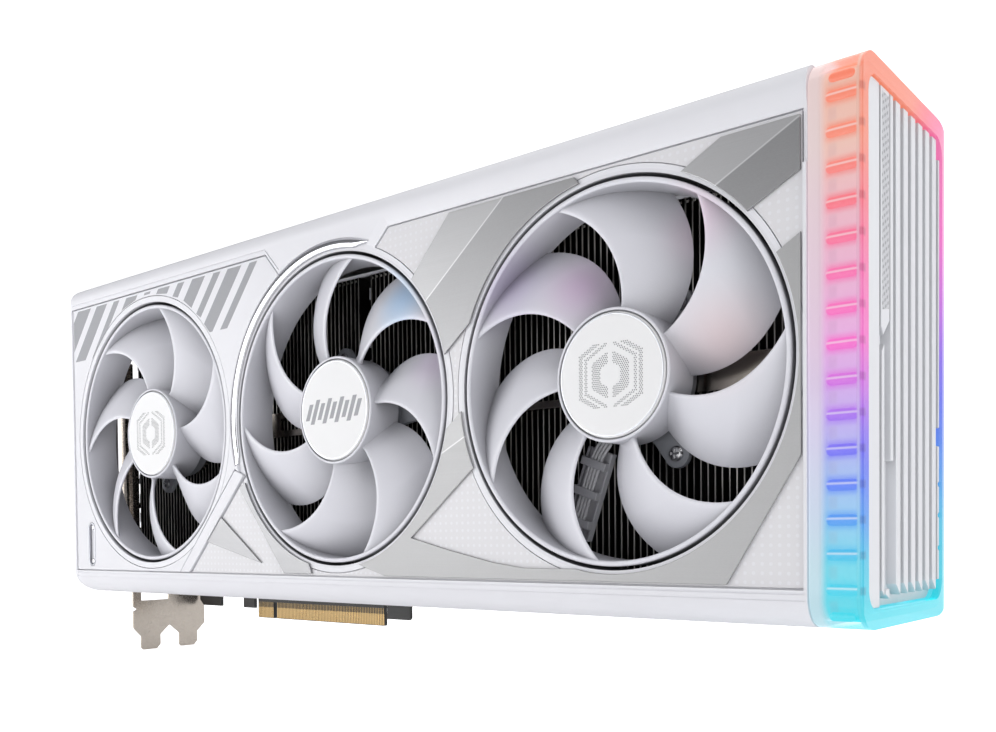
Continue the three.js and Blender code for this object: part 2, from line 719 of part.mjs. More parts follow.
// A bar across the fins that carries the three motor bases.
function crossBrace() {
  const depth = [BRACE.front, BRACE.back];
  const pieces = [block([BRACE.left, BRACE.right], depth, [BRACE.bottom, BRACE.top])];
  for (const x of FAN.xs) pieces.push(disc(BRACE.padRadius, x, FAN.z, depth, 20));
  const windows = [];
  for (let x = 22; x < 320; x += 26) {
    const clearOfPads = FAN.xs.every((centre) => Math.abs(x + 6 - centre) > 26);
    if (clearOfPads) windows.push(block([x, x + 13], [19, 22], [63.6, 68.9]));
  }
  return cut(join(pieces), ...windows);
}

function coldPlate() {
  const across = (centre, half) => [centre - half, centre + half];
  const { half, front, back, padHalf, padBack } = COLD_PLATE;
  return join([
    block(across(GPU.x, half), [front, back], across(GPU.z, half)),
    block(across(GPU.x, padHalf), [back - 0.1, padBack], across(GPU.z, padHalf)),
  ]);
}

// Flattened pipes that cross the cold plate and run along the back of the fins.
function heatPipe(number) {
  const outer = GPU.z + PIPE.reaches[number];
  const inner = GPU.z + PIPE.offsets[number];
  const route = [
    [22, PIPE.y, outer],
    [50, PIPE.y, outer],
    [76, PIPE.y, inner],
    [132, PIPE.y, inner],
    [160, PIPE.y, outer],
    [250, PIPE.y, outer],
    [336, PIPE.y, outer],
  ];
  return swept(roundSection(PIPE.halfDepth, PIPE.halfHeight, 8), route, 16);
}

// ---------------------------------------------------------------- board

function boardOutline() {
  return polygon([
    [BOARD.left + 3, -10.6],
    [19.8, -10.6],
    [19.8, BOARD.bottom],
    [38, BOARD.bottom],
    [38, -10.6],
    [46.4, -10.6],
    [46.4, BOARD.bottom],
    [CONNECTOR.left, BOARD.bottom],
    [CONNECTOR.left, CONNECTOR.bottom + 0.7],
    [CONNECTOR.left + 0.5, CONNECTOR.bottom + 0.2],
    [CONNECTOR.notchLeft, CONNECTOR.bottom + 0.2],
    [CONNECTOR.notchLeft, CONNECTOR.notchTop],
    [CONNECTOR.notchRight, CONNECTOR.notchTop],
    [CONNECTOR.notchRight, CONNECTOR.bottom + 0.2],
    [CONNECTOR.right - 0.5, CONNECTOR.bottom + 0.2],
    [CONNECTOR.right, CONNECTOR.bottom + 0.7],
    [CONNECTOR.right, BOARD.bottom],
    [136, BOARD.bottom],
    [136, -11.8],
    [148.4, -11.8],
    [149.2, -11],
    [149.2, BOARD.bottom],
    [BOARD.right, BOARD.bottom + 6],
    [BOARD.right, BOARD.top - 6],
    [BOARD.right - 6, BOARD.top],
    [BOARD.left, BOARD.top],
    [BOARD.left, -8],
  ]);
}

// The board with the parts that are soldered to it: memory, chokes, capacitors and fan headers.
function circuitBoard() {
  const face = BOARD.front + 0.1;
  const pieces = [plate(boardOutline(), [BOARD.front, BOARD.back])];
  const soldered = (x, z, width, height, tall) =>
    pieces.push(block([x, x + width], [face - tall, face], [z, z + height]));
  for (let i = 0; i < 3; i++) {
    soldered(60, 38 + 16.5 * i, 12, 14, 1.2);
    soldered(136, 38 + 16.5 * i, 12, 14, 1.2);
    soldered(80 + 16.5 * i, 99, 14, 12, 1.2);
    soldered(80 + 16.5 * i, 14, 14, 12, 1.2);
  }
  for (let i = 0; i < 9; i++) {
    soldered(30, 20 + 11 * i, 8, 8, 4.4);
    soldered(176, 12 + 11 * i, 8, 8, 4.4);
  }
  for (let i = 0; i < 6; i++) soldered(194, 18 + 14 * i, 6, 6, 5);
  soldered(76, 124.5, 8, 4, 2.6);
  soldered(198, 2, 8, 4, 2.6);
  soldered(234, 3, 8, 4, 2.6);
  return join(pieces);
}

// Gold plating over both faces of one run of the connector tongue.
function edgeContact([x0, x1]) {
  const skin = CONNECTOR.contactSkin;
  const gap = 0.05;
  const outer = block(
    [x0, x1],
    [BOARD.front - gap - skin, BOARD.back + gap + skin],
    [CONNECTOR.bottom, CONNECTOR.contactTop],
  );
  const tongue = block(
    [x0 - 1, x1 + 1],
    [BOARD.front - gap, BOARD.back + gap],
    [CONNECTOR.bottom + 0.15, CONNECTOR.contactTop + 1],
  );
  return outer.subtract(tongue);
}

function gpuPackage() {
  const half = GPU.side / 2;
  const die = GPU.die / 2;
  return join([
    block([GPU.x - half, GPU.x + half], [60, BOARD.front - 0.1], [GPU.z - half, GPU.z + half]),
    block([GPU.x - die, GPU.x + die], [57.9, 60.1], [GPU.z - die, GPU.z + die]),
  ]);
}

// The power socket: a housing open upwards with two rows of pins.
function powerConnector() {
  const half = POWER.width / 2;
  const outside = [POWER.front, BOARD.front - GAP];
  const housing = block([POWER.x - half, POWER.x + half], outside, [POWER.bottom, POWER.top]);
  const inside = [POWER.x - half + 1.2, POWER.x + half - 1.2];
  const hollow = block(inside, [POWER.front + 1.4, BOARD.front - 2.4], [POWER.bottom + 4, POWER.top + 1]);
  const pins = [];
  for (let i = 0; i < 6; i++) {
    const x = POWER.x + POWER.pinPitch * (i - 2.5);
    const height = [POWER.bottom + 3.5, POWER.top - 3.5];
    for (const y of [52, 56.5]) pins.push(block([x - 0.5, x + 0.5], [y, y + 1], height));
  }
  return join([housing.subtract(hollow), ...pins]);
}

function switchBody() {
  const half = SWITCH.width / 2;
  const slotHalf = (SWITCH.slider + SWITCH.travel) / 2 + SWITCH.clearance;
  const body = block([SWITCH.x - half, SWITCH.x + half], [57.6, BOARD.front - GAP], [125, 130.6]);
  return body.subtract(block([SWITCH.x - slotHalf, SWITCH.x + slotHalf], [58.6, 60.8], [127.6, 132]));
}

// The slider at the bracket end of its travel.
function switchSlider() {
  const left = SWITCH.x - (SWITCH.slider + SWITCH.travel) / 2;
  return block([left, left + SWITCH.slider], [58.9, 60.5], [127.9, 133.4]);
}

// ---------------------------------------------------------------- bracket and ports

function bracketOutline() {
  const [footA, footB] = FOOT.centres;
  const half = FOOT.width / 2;
  return polygon([
    [BRACKET.front, BRACKET.top],
    [BRACKET.front, -9.6],
    [29.3, -10.9],
    [BRACKET.front, -12],
    [BRACKET.front, BRACKET.bottom],
    [footA - half, -23.8],
    [footA - half, FOOT.bottom + 1],
    [footA - half + 1, FOOT.bottom],
    [footA + half - 2, FOOT.bottom],
    [footA + half, FOOT.bottom + 2],
    [footA + half, -23.6],
    [(footA + footB) / 2, -19.3],
    [footB - half, -23.6],
    [footB - half, FOOT.bottom + 1],
    [footB - half + 1, FOOT.bottom],
    [footB + half - 2, FOOT.bottom],
    [footB + half, FOOT.bottom + 2],
    [footB + half, -23.6],
    [BRACKET.back, BRACKET.bottom],
    [BRACKET.back, BRACKET.top],
  ]);
}

function ioBracket() {
  const plane = slab(bracketOutline(), [BRACKET.outer, BRACKET.inner]);
  const flange = block(
    [BRACKET.outer - BRACKET.flangeReach, BRACKET.inner],
    [BRACKET.front, BRACKET.back],
    [BRACKET.top - 1, BRACKET.top],
  );
  const ears = [37, 57.3].map((y) =>
    block([BRACKET.outer - 8.5, BRACKET.outer - 4], [y - 2.2, y + 2.2], [BRACKET.top - 2, BRACKET.top + 1]));
  const through = [BRACKET.outer - 1, BRACKET.inner + 1];
  const portDepth = [PORT.centreY - PORT.height / 2 - GAP, PORT.centreY + PORT.height / 2 + GAP];
  const ports = PORT.zs.map((z, i) => block(through, portDepth, portSpan(i, z, GAP)));
  const vents = [];
  for (let i = 0; i < 8; i++) vents.push(block(through, [31.5, 45.8], [-6.9 + 11.6 * i, 2.2 + 11.6 * i]));
  return cut(plane.add(flange), ...ears, ...ports, ...vents);
}

// The extent along Z of a port shell: the lower two are HDMI, the upper three DisplayPort.
function portSpan(number, z, grow) {
  const half = (number < 2 ? 15.2 : 16.4) / 2 + grow;
  return [z - half, z + half];
}

function videoPort(number) {
  const z = PORT.zs[number];
  const [bottom, top] = portSpan(number, z, 0);
  const [front, back] = [PORT.centreY - PORT.height / 2, PORT.centreY + PORT.height / 2];
  const mouth = BRACKET.outer - 0.2;
  const shell = block([mouth, PORT.length], [front, back], [bottom, top]);
  const hollow = block([mouth - 1, 12], [front + 0.5, back - 0.5], [bottom + 0.5, top - 0.5]);
  const tongue = block([2.5, 12.5], [PORT.centreY + 0.9, PORT.centreY + 2.1], [bottom + 2, top - 2]);
  return shell.subtract(hollow).add(tongue);
}

// A cast post that ties the bracket to the cooler, with two upright ridges.
function bracketPost() {
  const height = [POST.bottom, POST.top];
  const web = [POST.left, POST.left + 2.2];
  const ridges = [POST.left + 2.1, POST.right];
  return join([
    block(web, [POST.front, POST.back], height),
    block(ridges, [POST.front, POST.front + POST.ridge], height),
    block(ridges, [POST.back - POST.ridge, POST.back], height),
  ]);
}

// ---------------------------------------------------------------- back

function backplate() {
  const { left, front, skin, windowHalf } = BACKPLATE;
  const outline = roundedRectangle([left, SHROUD.right], [CARD.bottom, CARD.top], [4, 1, 1, 4]);
  const body = plate(outline, [front, CARD.back], 5);
  const inside = block(
    [left + skin, SHROUD.right - skin],
    [front - 1, CARD.back - skin],
    [CARD.bottom + skin, CARD.top - skin],
  );
  const windowOutline = roundedRectangle(
    [GPU.x - windowHalf, GPU.x + windowHalf],
    [GPU.z - windowHalf, GPU.z + windowHalf],
    [4, 4, 4, 4],
  );
  const coreWindow = plate(windowOutline, [front + 1, CARD.back + 1], 4);
  const slots = [];
  for (let i = 0; i < 7; i++) {
    const x = 256 + 11 * i;
    slots.push(plate(polygon([[x, 14], [x + 6, 14], [x + 12, 60], [x + 6, 60]]), [66, 71]));
    slots.push(plate(polygon([[x + 6, 68], [x + 12, 68], [x + 6, 116], [x, 116]]), [66, 71]));
  }
  const notch = [POWER.x - POWER.notchHalf, POWER.x + POWER.notchHalf];
  const powerNotch = block(notch, [front - 1, front + 2.4], [CARD.top - 4, CARD.top + 1]);
  return cut(body, inside, coreWindow, ...slots, powerNotch);
}

// The sprung cross behind the processor.
function retentionBracket() {
  const arms = [45, 135].map((angle) => {
    const arm = plate(rectangle([-31, 31], [-4, 4]), [64.4, 65.8]);
    return arm.rotate([0, angle, 0]).translate([GPU.x, 0, GPU.z]);
  });
  const centre = block([GPU.x - 13, GPU.x + 13], [64.4, 65.8], [GPU.z - 13, GPU.z + 13]);
  return join([...arms, centre]).subtract(disc(8, GPU.x, GPU.z, [64, 66.5], 24));
}

// ---------------------------------------------------------------- assembly

const card = new THREE.Group();
card.position.set(-DATUM[0], -DATUM[1], -DATUM[2]);

function place(name, solid, material) {
  const mesh = new THREE.Mesh(geometryOf(solid), material);
  mesh.name = name;
  card.add(mesh);
}

place('front_shroud', frontShroud(), FINISH.whitePlastic);
place('left_panel', leftPanel(), FINISH.whitePlastic);
place('dotted_panel', dottedPanel(), FINISH.dottedPlastic);
place('diagonal_beam', diagonalBeam(), FINISH.whitePlastic);
place('crescent_trim', crescentTrim(), FINISH.chrome);
place('triangle_trim', triangleTrim(), FINISH.darkSilver);
place('band_trim', bandTrim(), FINISH.darkSilver);
place('upper_trim', upperTrim(), FINISH.silver);
place('lower_trim', lowerTrim(), FINISH.silver);
place('corner_trim', cornerTrim(), FINISH.silver);
place('light_cover', lightCover(), FINISH.lightCover);
place('led_strip', ledStrip(), FINISH.ledStrip);
place('tail_grille', tailGrille(), FINISH.whitePlastic);

['left', 'middle', 'right'].forEach((side, fan) => {
  place(`${side}_fan_rotor`, rotor(fan), FINISH.bladePlastic);
  place(`${side}_fan_badge`, hubBadge(fan), FINISH.whitePlastic);
  place(`${side}_fan_shaft`, shaft(fan), FINISH.steel);
  place(`${side}_fan_bearing`, bearing(fan), FINISH.copper);
  place(`${side}_fan_stator`, stator(fan), FINISH.copper);
  place(`${side}_fan_mount`, motorMount(fan), FINISH.greyPlastic);
  place(`${side}_fan_lead`, fanLead(fan), FINISH.leadWhite);
});
place('cable_guide', cableGuide(), FINISH.greyPlastic);

place('fin_stack_left', finStack(FIN_STACKS.left), FINISH.blackMetal);
place('fin_stack_right', finStack(FIN_STACKS.right), FINISH.blackMetal);
place('cross_brace', crossBrace(), FINISH.blackMetal);
place('cold_plate', coldPlate(), FINISH.nickel);
for (let i = 0; i < 3; i++) place(`heat_pipe_${i + 1}`, heatPipe(i), FINISH.nickel);

place('circuit_board', circuitBoard(), FINISH.board);
place('edge_contact_short', edgeContact([CONNECTOR.left + 0.5, CONNECTOR.notchLeft - 0.2]), FINISH.gold);
place('edge_contact_long', edgeContact([CONNECTOR.notchRight + 0.2, CONNECTOR.right - 0.5]), FINISH.gold);
place('gpu_package', gpuPackage(), FINISH.chip);
place('power_connector', powerConnector(), FINISH.blackPlastic);
place('bios_switch_body', switchBody(), FINISH.blackPlastic);
place('bios_switch_slider', switchSlider(), FINISH.whitePlastic);

place('io_bracket', ioBracket(), FINISH.nickel);
for (let i = 0; i < 2; i++) place(`hdmi_port_${i + 1}`, videoPort(i), FINISH.steel);
for (let i = 2; i < 5; i++) place(`display_port_${i - 1}`, videoPort(i), FINISH.steel);
place('bracket_post', bracketPost(), FINISH.nickel);

place('backplate', backplate(), FINISH.whitePlastic);
place('retention_bracket', retentionBracket(), FINISH.steel);

export default card;
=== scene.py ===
"""The looks of a triple-fan graphics card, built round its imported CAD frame.

Shapes are drawn in card millimetres: X runs from the I/O bracket to the lit tail end, Y from the fan
side to the backplate and Z up. at() turns a card point into the frame's metres.
"""
import json
import math

import bmesh
import bpy
from mathutils import Matrix, Vector
from mathutils.geometry import tessellate_polygon

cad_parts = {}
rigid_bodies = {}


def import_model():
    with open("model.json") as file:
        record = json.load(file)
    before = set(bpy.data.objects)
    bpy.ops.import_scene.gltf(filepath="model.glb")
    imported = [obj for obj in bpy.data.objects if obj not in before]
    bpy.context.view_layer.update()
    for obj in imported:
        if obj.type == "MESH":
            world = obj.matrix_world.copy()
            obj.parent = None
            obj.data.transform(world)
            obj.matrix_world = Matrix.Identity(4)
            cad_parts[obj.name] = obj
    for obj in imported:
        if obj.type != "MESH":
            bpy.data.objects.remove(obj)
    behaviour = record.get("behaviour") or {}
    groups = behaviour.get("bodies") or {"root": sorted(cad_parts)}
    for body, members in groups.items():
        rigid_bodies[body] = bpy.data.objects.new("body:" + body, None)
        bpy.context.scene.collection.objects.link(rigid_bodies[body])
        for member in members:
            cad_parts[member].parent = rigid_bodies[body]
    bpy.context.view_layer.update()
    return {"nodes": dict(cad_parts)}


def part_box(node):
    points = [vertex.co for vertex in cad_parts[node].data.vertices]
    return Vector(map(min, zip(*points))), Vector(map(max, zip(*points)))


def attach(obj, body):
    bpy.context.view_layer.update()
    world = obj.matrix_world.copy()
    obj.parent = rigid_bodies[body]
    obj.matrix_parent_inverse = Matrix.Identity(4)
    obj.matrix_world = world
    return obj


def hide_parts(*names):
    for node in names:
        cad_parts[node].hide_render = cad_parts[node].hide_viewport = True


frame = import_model()

# ---------------------------------------------------------------- the frame in card millimetres

MM = 0.001
SHROUD_CORNER = Vector((-0.4, 0.0, -0.7))
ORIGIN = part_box("front_shroud")[0] - SHROUD_CORNER * MM


def at(point):
    return ORIGIN + Vector(point) * MM


def box_mm(node):
    """A CAD node's lowest and highest corners in card millimetres."""
    return tuple((corner - ORIGIN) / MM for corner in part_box(node))


class Fan:
    def __init__(self, side):
        low, high = box_mm(f"{side}_fan_rotor")
        self.side = side
        self.body = f"{side}_rotor"
        self.x, self.z = (low.x + high.x) / 2, (low.z + high.z) / 2
        self.front, self.back = low.y, high.y
        self.centre = (self.x, self.z)


FANS = [Fan(side) for side in ("left", "middle", "right")]
SHROUD_LOW, SHROUD_HIGH = box_mm("front_shroud")
TAIL_LOW, TAIL_HIGH = box_mm("light_cover")
MOUTH_RADIUS = 53.35
DUCT_RADIUS = 55.6
DUCT_BACK = 16.3
RIM_FRONTS = (0.3, 1.0, 1.0)
PANEL_CLEAR = 55.9
TRIM_CLEAR = 54.3
PANEL_FOOT, PANEL_TOP, PANEL_END = 9.1, 122.6, 343
BEAM_CUT = (-1, 2.01)
WALL, FRONT_WALL = 2.2, 4.2
BRACE_SPAN = (19.4, 21.2)
MOTOR_EAR = (17.0, 18.8)
PAD_FACES = ((61.87, 62.02), (63.58, 63.73))
MOUTH_SHADE_RADIUS = 54.25

# The light bars down the tail: the lowest one's height, their spacing and their number.
PILL_FIRST = 8.9
PILL_PITCH = 8.25
PILL_COUNT = 15
PILL_TALL, PILL_PROUD = 2.7, 0.42
PILL_WALL = 2.28
STRIP_START, STRIP_END = 346.8, 356.8

# ---------------------------------------------------------------- outlines


def arc(centre, radius, start, end, step=2.5):
    """Points on an arc round (a, b), from one angle to another in degrees."""
    count = max(2, round(abs(end - start) / step))
    angles = [math.radians(start + (end - start) * i / count) for i in range(count + 1)]
    return [(centre[0] + radius * math.cos(t), centre[1] + radius * math.sin(t)) for t in angles]


def rim(fan, radius, start, end):
    return arc(FANS[fan].centre, radius, start, end)


def circle(centre, radius, count=96):
    return arc(centre, radius, 0, 360, 360 / count)[:-1]


def rounded_rect(span_a, span_b, radii, steps=8):
    """A rectangle with its own radius at each corner: low-low, high-low, high-high, low-high."""
    (a0, a1), (b0, b1) = span_a, span_b
    corners = [(a0, b0, 1, 1, 180), (a1, b0, -1, 1, 270), (a1, b1, -1, -1, 0), (a0, b1, 1, -1, 90)]
    points = []
    for (a, b, side_a, side_b, start), radius in zip(corners, radii):
        if radius == 0:
            points.append((a, b))
            continue
        centre = (a + side_a * radius, b + side_b * radius)
        points += arc(centre, radius, start, start + 90, 90 / steps)
    return points


def area_of(loop):
    pairs = zip(loop, loop[1:] + loop[:1])
    return sum(a[0] * b[1] - b[0] * a[1] for a, b in pairs) / 2


def turned_way(loop, anticlockwise):
    return list(loop) if (area_of(loop) > 0) == anticlockwise else list(reversed(loop))


def clean(loop, tolerance=1e-3):
    """The loop without points that lie on each other."""
    kept = []
    for point in loop:
        if not kept or (Vector(point) - Vector(kept[-1])).length > tolerance:
            kept.append(tuple(point))
    if (Vector(kept[0]) - Vector(kept[-1])).length <= tolerance:
        kept.pop()
    return kept


def inset(loop, distance):
    """The loop moved to the left of its own direction, with mitred corners."""
    moved = []
    for i, point in enumerate(loop):
        before, here, after = Vector(loop[i - 1]), Vector(point), Vector(loop[(i + 1) % len(loop)])
        first, second = (here - before).normalized(), (after - here).normalized()
        normals = Vector((-first.y, first.x)), Vector((-second.y, second.x))
        middle = normals[0] + normals[1]
        if middle.length < 1e-6:
            middle = normals[0]
        middle.normalize()
        stretch = 1 / max(0.35, middle.dot(normals[0]))
        moved.append(tuple(here + middle * distance * stretch))
    return moved


# ---------------------------------------------------------------- shapes


class Shape:
    """Vertices and faces in card millimetres, gathered from several closed bodies."""

    def __init__(self):
        self.points, self.faces = [], []

    def add(self, points, faces):
        start = len(self.points)
        self.points += [tuple(p) for p in points]
        self.faces += [[start + i for i in face] for face in faces]
        return self

    def join(self, *others):
        for other in others:
            self.add(other.points, other.faces)
        return self


AXES = {
    "x": lambda a, b, depth: (depth, a, b),
    "y": lambda a, b, depth: (a, depth, b),
    "z": lambda a, b, depth: (a, b, depth),
}


def prism(outline, span, axis="y", holes=(), edge=0.0, far_edge=0.0, steps=2):
    """A plate between two depths on an axis, with rounded edges on its near and far faces."""
    loops = [turned_way(clean(outline), True)] + [turned_way(clean(h), False) for h in holes]
    rings = []
    for i in range(steps + 1 if edge else 1):
        turn = math.pi / 2 * i / steps
        rings.append((edge * (1 - math.sin(turn)), span[0] + edge * (1 - math.cos(turn))))
    for i in range(steps + 1 if far_edge else 1):
        turn = math.pi / 2 * (1 - i / steps)
        rings.append((far_edge * (1 - math.sin(turn)), span[1] - far_edge * (1 - math.cos(turn))))
    place = AXES[axis]
    points, faces, starts = [], [], []
    for inward, depth in rings:
        starts.append(len(points))
        for loop in loops:
            points += [place(a, b, depth) for a, b in (inset(loop, inward) if inward else loop)]
    for near, far in zip(starts, starts[1:]):
        offset = 0
        for loop in loops:
            size = len(loop)
            for i in range(size):
                j = (i + 1) % size
                faces.append([near + offset + i, near + offset + j, far + offset + j, far + offset + i])
            offset += size
    for start, (inward, _) in ((starts[0], rings[0]), (starts[-1], rings[-1])):
        flat = [[Vector((a, b, 0)) for a, b in (inset(loop, inward) if inward else loop)] for loop in loops]
        if len(flat) == 1:
            faces.append([start + i for i in range(len(flat[0]))])
        else:
            faces += [[start + i for i in triangle] for triangle in tessellate_polygon(flat)]
    return Shape().add(points, faces)


def block(x, y, z, edge=0.0):
    """A box with rounded edges."""
    if not edge:
        return prism([(x[0], z[0]), (x[1], z[0]), (x[1], z[1]), (x[0], z[1])], y)
    mesh = bmesh.new()
    bmesh.ops.create_cube(mesh, size=1)
    spans = Vector((x[1] - x[0], y[1] - y[0], z[1] - z[0]))
    centre = Vector((x[0] + x[1], y[0] + y[1], z[0] + z[1])) / 2
    for vertex in mesh.verts:
        vertex.co = Vector([c * s for c, s in zip(vertex.co, spans)]) + centre
    bmesh.ops.bevel(mesh, geom=mesh.edges[:], offset=edge, segments=2, profile=0.5, affect="EDGES")
    mesh.verts.index_update()
    shape = Shape().add([v.co for v in mesh.verts], [[v.index for v in f.verts] for f in mesh.faces])
    mesh.free()
    return shape


def lathe(profile, x, z, count=96):
    """A closed (radius, Y) profile turned about a fan's axis. Points at radius 0 lie on the axis."""
    points, faces, rows = [], [], []
    for radius, y in profile:
        if radius < 1e-6:
            rows.append([len(points)] * count)
            points.append((x, y, z))
            continue
        rows.append(list(range(len(points), len(points) + count)))
        points += [(a, y, b) for a, b in circle((x, z), radius, count)]
    open_ended = profile[0][0] < 1e-6 and profile[-1][0] < 1e-6
    pairs = list(zip(rows, rows[1:])) + ([] if open_ended else [(rows[-1], rows[0])])
    for near, far in pairs:
        for i in range(count):
            j = (i + 1) % count
            face = []
            for index in (near[i], near[j], far[j], far[i]):
                if index not in face:
                    face.append(index)
            if len(face) > 2:
                faces.append(face)
    return Shape().add(points, faces)


def ring_profile(inner, outer, front, back, edge):
    """A rectangular section with rounded front corners."""
    corner = [(math.cos(math.radians(t)), math.sin(math.radians(t))) for t in (0, 30, 60, 90)]
    left = [(inner + edge - edge * c, front + edge - edge * s) for c, s in corner]
    right = [(outer - edge + edge * c, front + edge - edge * s) for c, s in reversed(corner)]
    return left + right + [(outer, back), (inner, back)]


def disc(radius, x, z, span, edge=0.0, count=64):
    return prism(circle((x, z), radius, count), span, edge=edge)


def mouth(fan, radius, low=-1, high=3):
    """A round cutter on a fan's axis, between two depths."""
    return disc(radius, fan.x, fan.z, (low, high), count=144)


def skin(points, size):
    """A closed body over rows of points, each row a loop of the same size, with both ends capped."""
    last = len(points) // size - 1
    faces = [list(range(size)), list(range(last * size, (last + 1) * size))]
    for near in range(0, last * size, size):
        for k in range(size):
            j = (k + 1) % size
            faces.append([near + k, near + j, near + size + j, near + size + k])
    return Shape().add(points, faces)


def swept(points, radius, sides=10):
    """A round wire along a route, smoothed as a Catmull-Rom curve."""
    route = [Vector(p) for p in points]
    padded = [2 * route[0] - route[1]] + route + [2 * route[-1] - route[-2]]
    line = []
    for i in range(1, len(padded) - 2):
        a, b, c, d = padded[i - 1:i + 3]
        for step in range(8):
            t = step / 8
            line.append(0.5 * (2 * b + (c - a) * t + (2 * a - 5 * b + 4 * c - d) * t ** 2
                               + (3 * b - a - 3 * c + d) * t ** 3))
    line.append(route[-1])
    side = (line[1] - line[0]).orthogonal()
    points = []
    for i, here in enumerate(line):
        ahead = (line[min(i + 1, len(line) - 1)] - line[max(i - 1, 0)]).normalized()
        side = (side - ahead * side.dot(ahead)).normalized()
        up = ahead.cross(side)
        for k in range(sides):
            turn = 2 * math.pi * k / sides
            points.append(here + radius * (side * math.cos(turn) + up * math.sin(turn)))
    return skin(points, sides)


# ---------------------------------------------------------------- pieces


def mesh_of(name, shape):
    mesh = bpy.data.meshes.new(name)
    mesh.from_pydata([at(p) for p in shape.points], [], shape.faces)
    mesh.validate()
    fixed = bmesh.new()
    fixed.from_mesh(mesh)
    bmesh.ops.recalc_face_normals(fixed, faces=fixed.faces)
    fixed.to_mesh(mesh)
    fixed.free()
    return mesh


def link(name, mesh):
    thing = bpy.data.objects.new(name, mesh)
    bpy.context.scene.collection.objects.link(thing)
    return thing


def shade(thing, angle=35):
    """Smooth shading with sharp edges where faces meet at more than the angle, flat faces kept flat."""
    thing.data.shade_smooth()
    thing.data.set_sharp_from_angle(angle=math.radians(angle))
    weighted = thing.modifiers.new("flat_faces", "WEIGHTED_NORMAL")
    weighted.keep_sharp = True
    weighted.weight = 60


def solid(name, shape, material, body="card", replaces=(), angle=50):
    """A finished piece of the card: its mesh, its material, its body and what it stands for."""
    thing = link(name, mesh_of(name, shape))
    return finish_piece(thing, material, body, replaces, angle)


def finish_piece(thing, material, body="card", replaces=(), angle=50):
    thing.data.materials.clear()
    thing.data.materials.append(material)
    shade(thing, angle)
    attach(thing, body)
    if replaces:
        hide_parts(*replaces)
    return thing


def combine(base, steps):
    """The base shape after boolean steps, each an operation and a list of shapes, as a new mesh object."""
    thing = link("work", mesh_of("work", base))
    for operation, shapes in steps:
        tools = bpy.data.collections.new("tools")
        bpy.context.scene.collection.children.link(tools)
        for i, shape in enumerate(shapes):
            tools.objects.link(bpy.data.objects.new(f"tool_{i}", mesh_of("tool", shape)))
        cutter = thing.modifiers.new(operation, "BOOLEAN")
        cutter.operation = operation
        cutter.solver = "EXACT"
        cutter.operand_type = "COLLECTION"
        cutter.collection = tools
        bpy.context.view_layer.update()
        result = bpy.data.meshes.new_from_object(
            thing.evaluated_get(bpy.context.evaluated_depsgraph_get()))
        thing.modifiers.clear()
        thing.data = result
        for tool in list(tools.objects):
            bpy.data.objects.remove(tool)
        bpy.data.collections.remove(tools)
    return thing


def bevel(thing, width, angle):
    made = thing.modifiers.new("edges", "BEVEL")
    made.width = width * MM
    made.segments = 2
    made.limit_method = "ANGLE"
    made.angle_limit = math.radians(angle)


def round_edges(thing, width, angle=38):
    """A bevel on every edge sharper than the angle, once the mesh is rid of doubled points and flat edges."""
    tidy = bmesh.new()
    tidy.from_mesh(thing.data)
    bmesh.ops.remove_doubles(tidy, verts=tidy.verts, dist=0.00001)
    bmesh.ops.dissolve_limit(tidy, angle_limit=math.radians(0.6), verts=tidy.verts, edges=tidy.edges)
    tidy.to_mesh(thing.data)
    tidy.free()
    bevel(thing, width, angle)


def carved(name, base, steps, material, node=None, angle=30, edge=0.0):
    """A piece made by boolean steps, in place of a CAD node."""
    thing = combine(base, steps)
    thing.name = name
    if edge:
        round_edges(thing, edge)
    return finish_piece(thing, material, replaces=[node] if node else (), angle=angle)


def dress(node, material, edge=0.0, angle=40):
    """A CAD node that keeps its shape: a material, softened edges and clean shading."""
    thing = frame["nodes"][node]
    for place in thing.material_slots:
        place.material = material
    weld = thing.modifiers.new("weld", "WELD")
    weld.merge_threshold = 0.00001
    flat = thing.modifiers.new("flat", "DECIMATE")
    flat.decimate_type = "DISSOLVE"
    flat.angle_limit = math.radians(0.5)
    if edge:
        bevel(thing, edge, angle)
    smooth = thing.modifiers.new("smooth", "WEIGHTED_NORMAL")
    smooth.keep_sharp = True


# ---------------------------------------------------------------- materials


def srgb(red, green, blue):
    """A colour given as it shows on a screen, 0 to 255, as linear light."""
    def linear(value):
        value /= 255
        return value / 12.92 if value <= 0.04045 else ((value + 0.055) / 1.055) ** 2.4
    return (linear(red), linear(green), linear(blue), 1.0)


def scaled(colour, factor):
    return tuple(min(1.0, c * factor) for c in colour[:3]) + (1,)


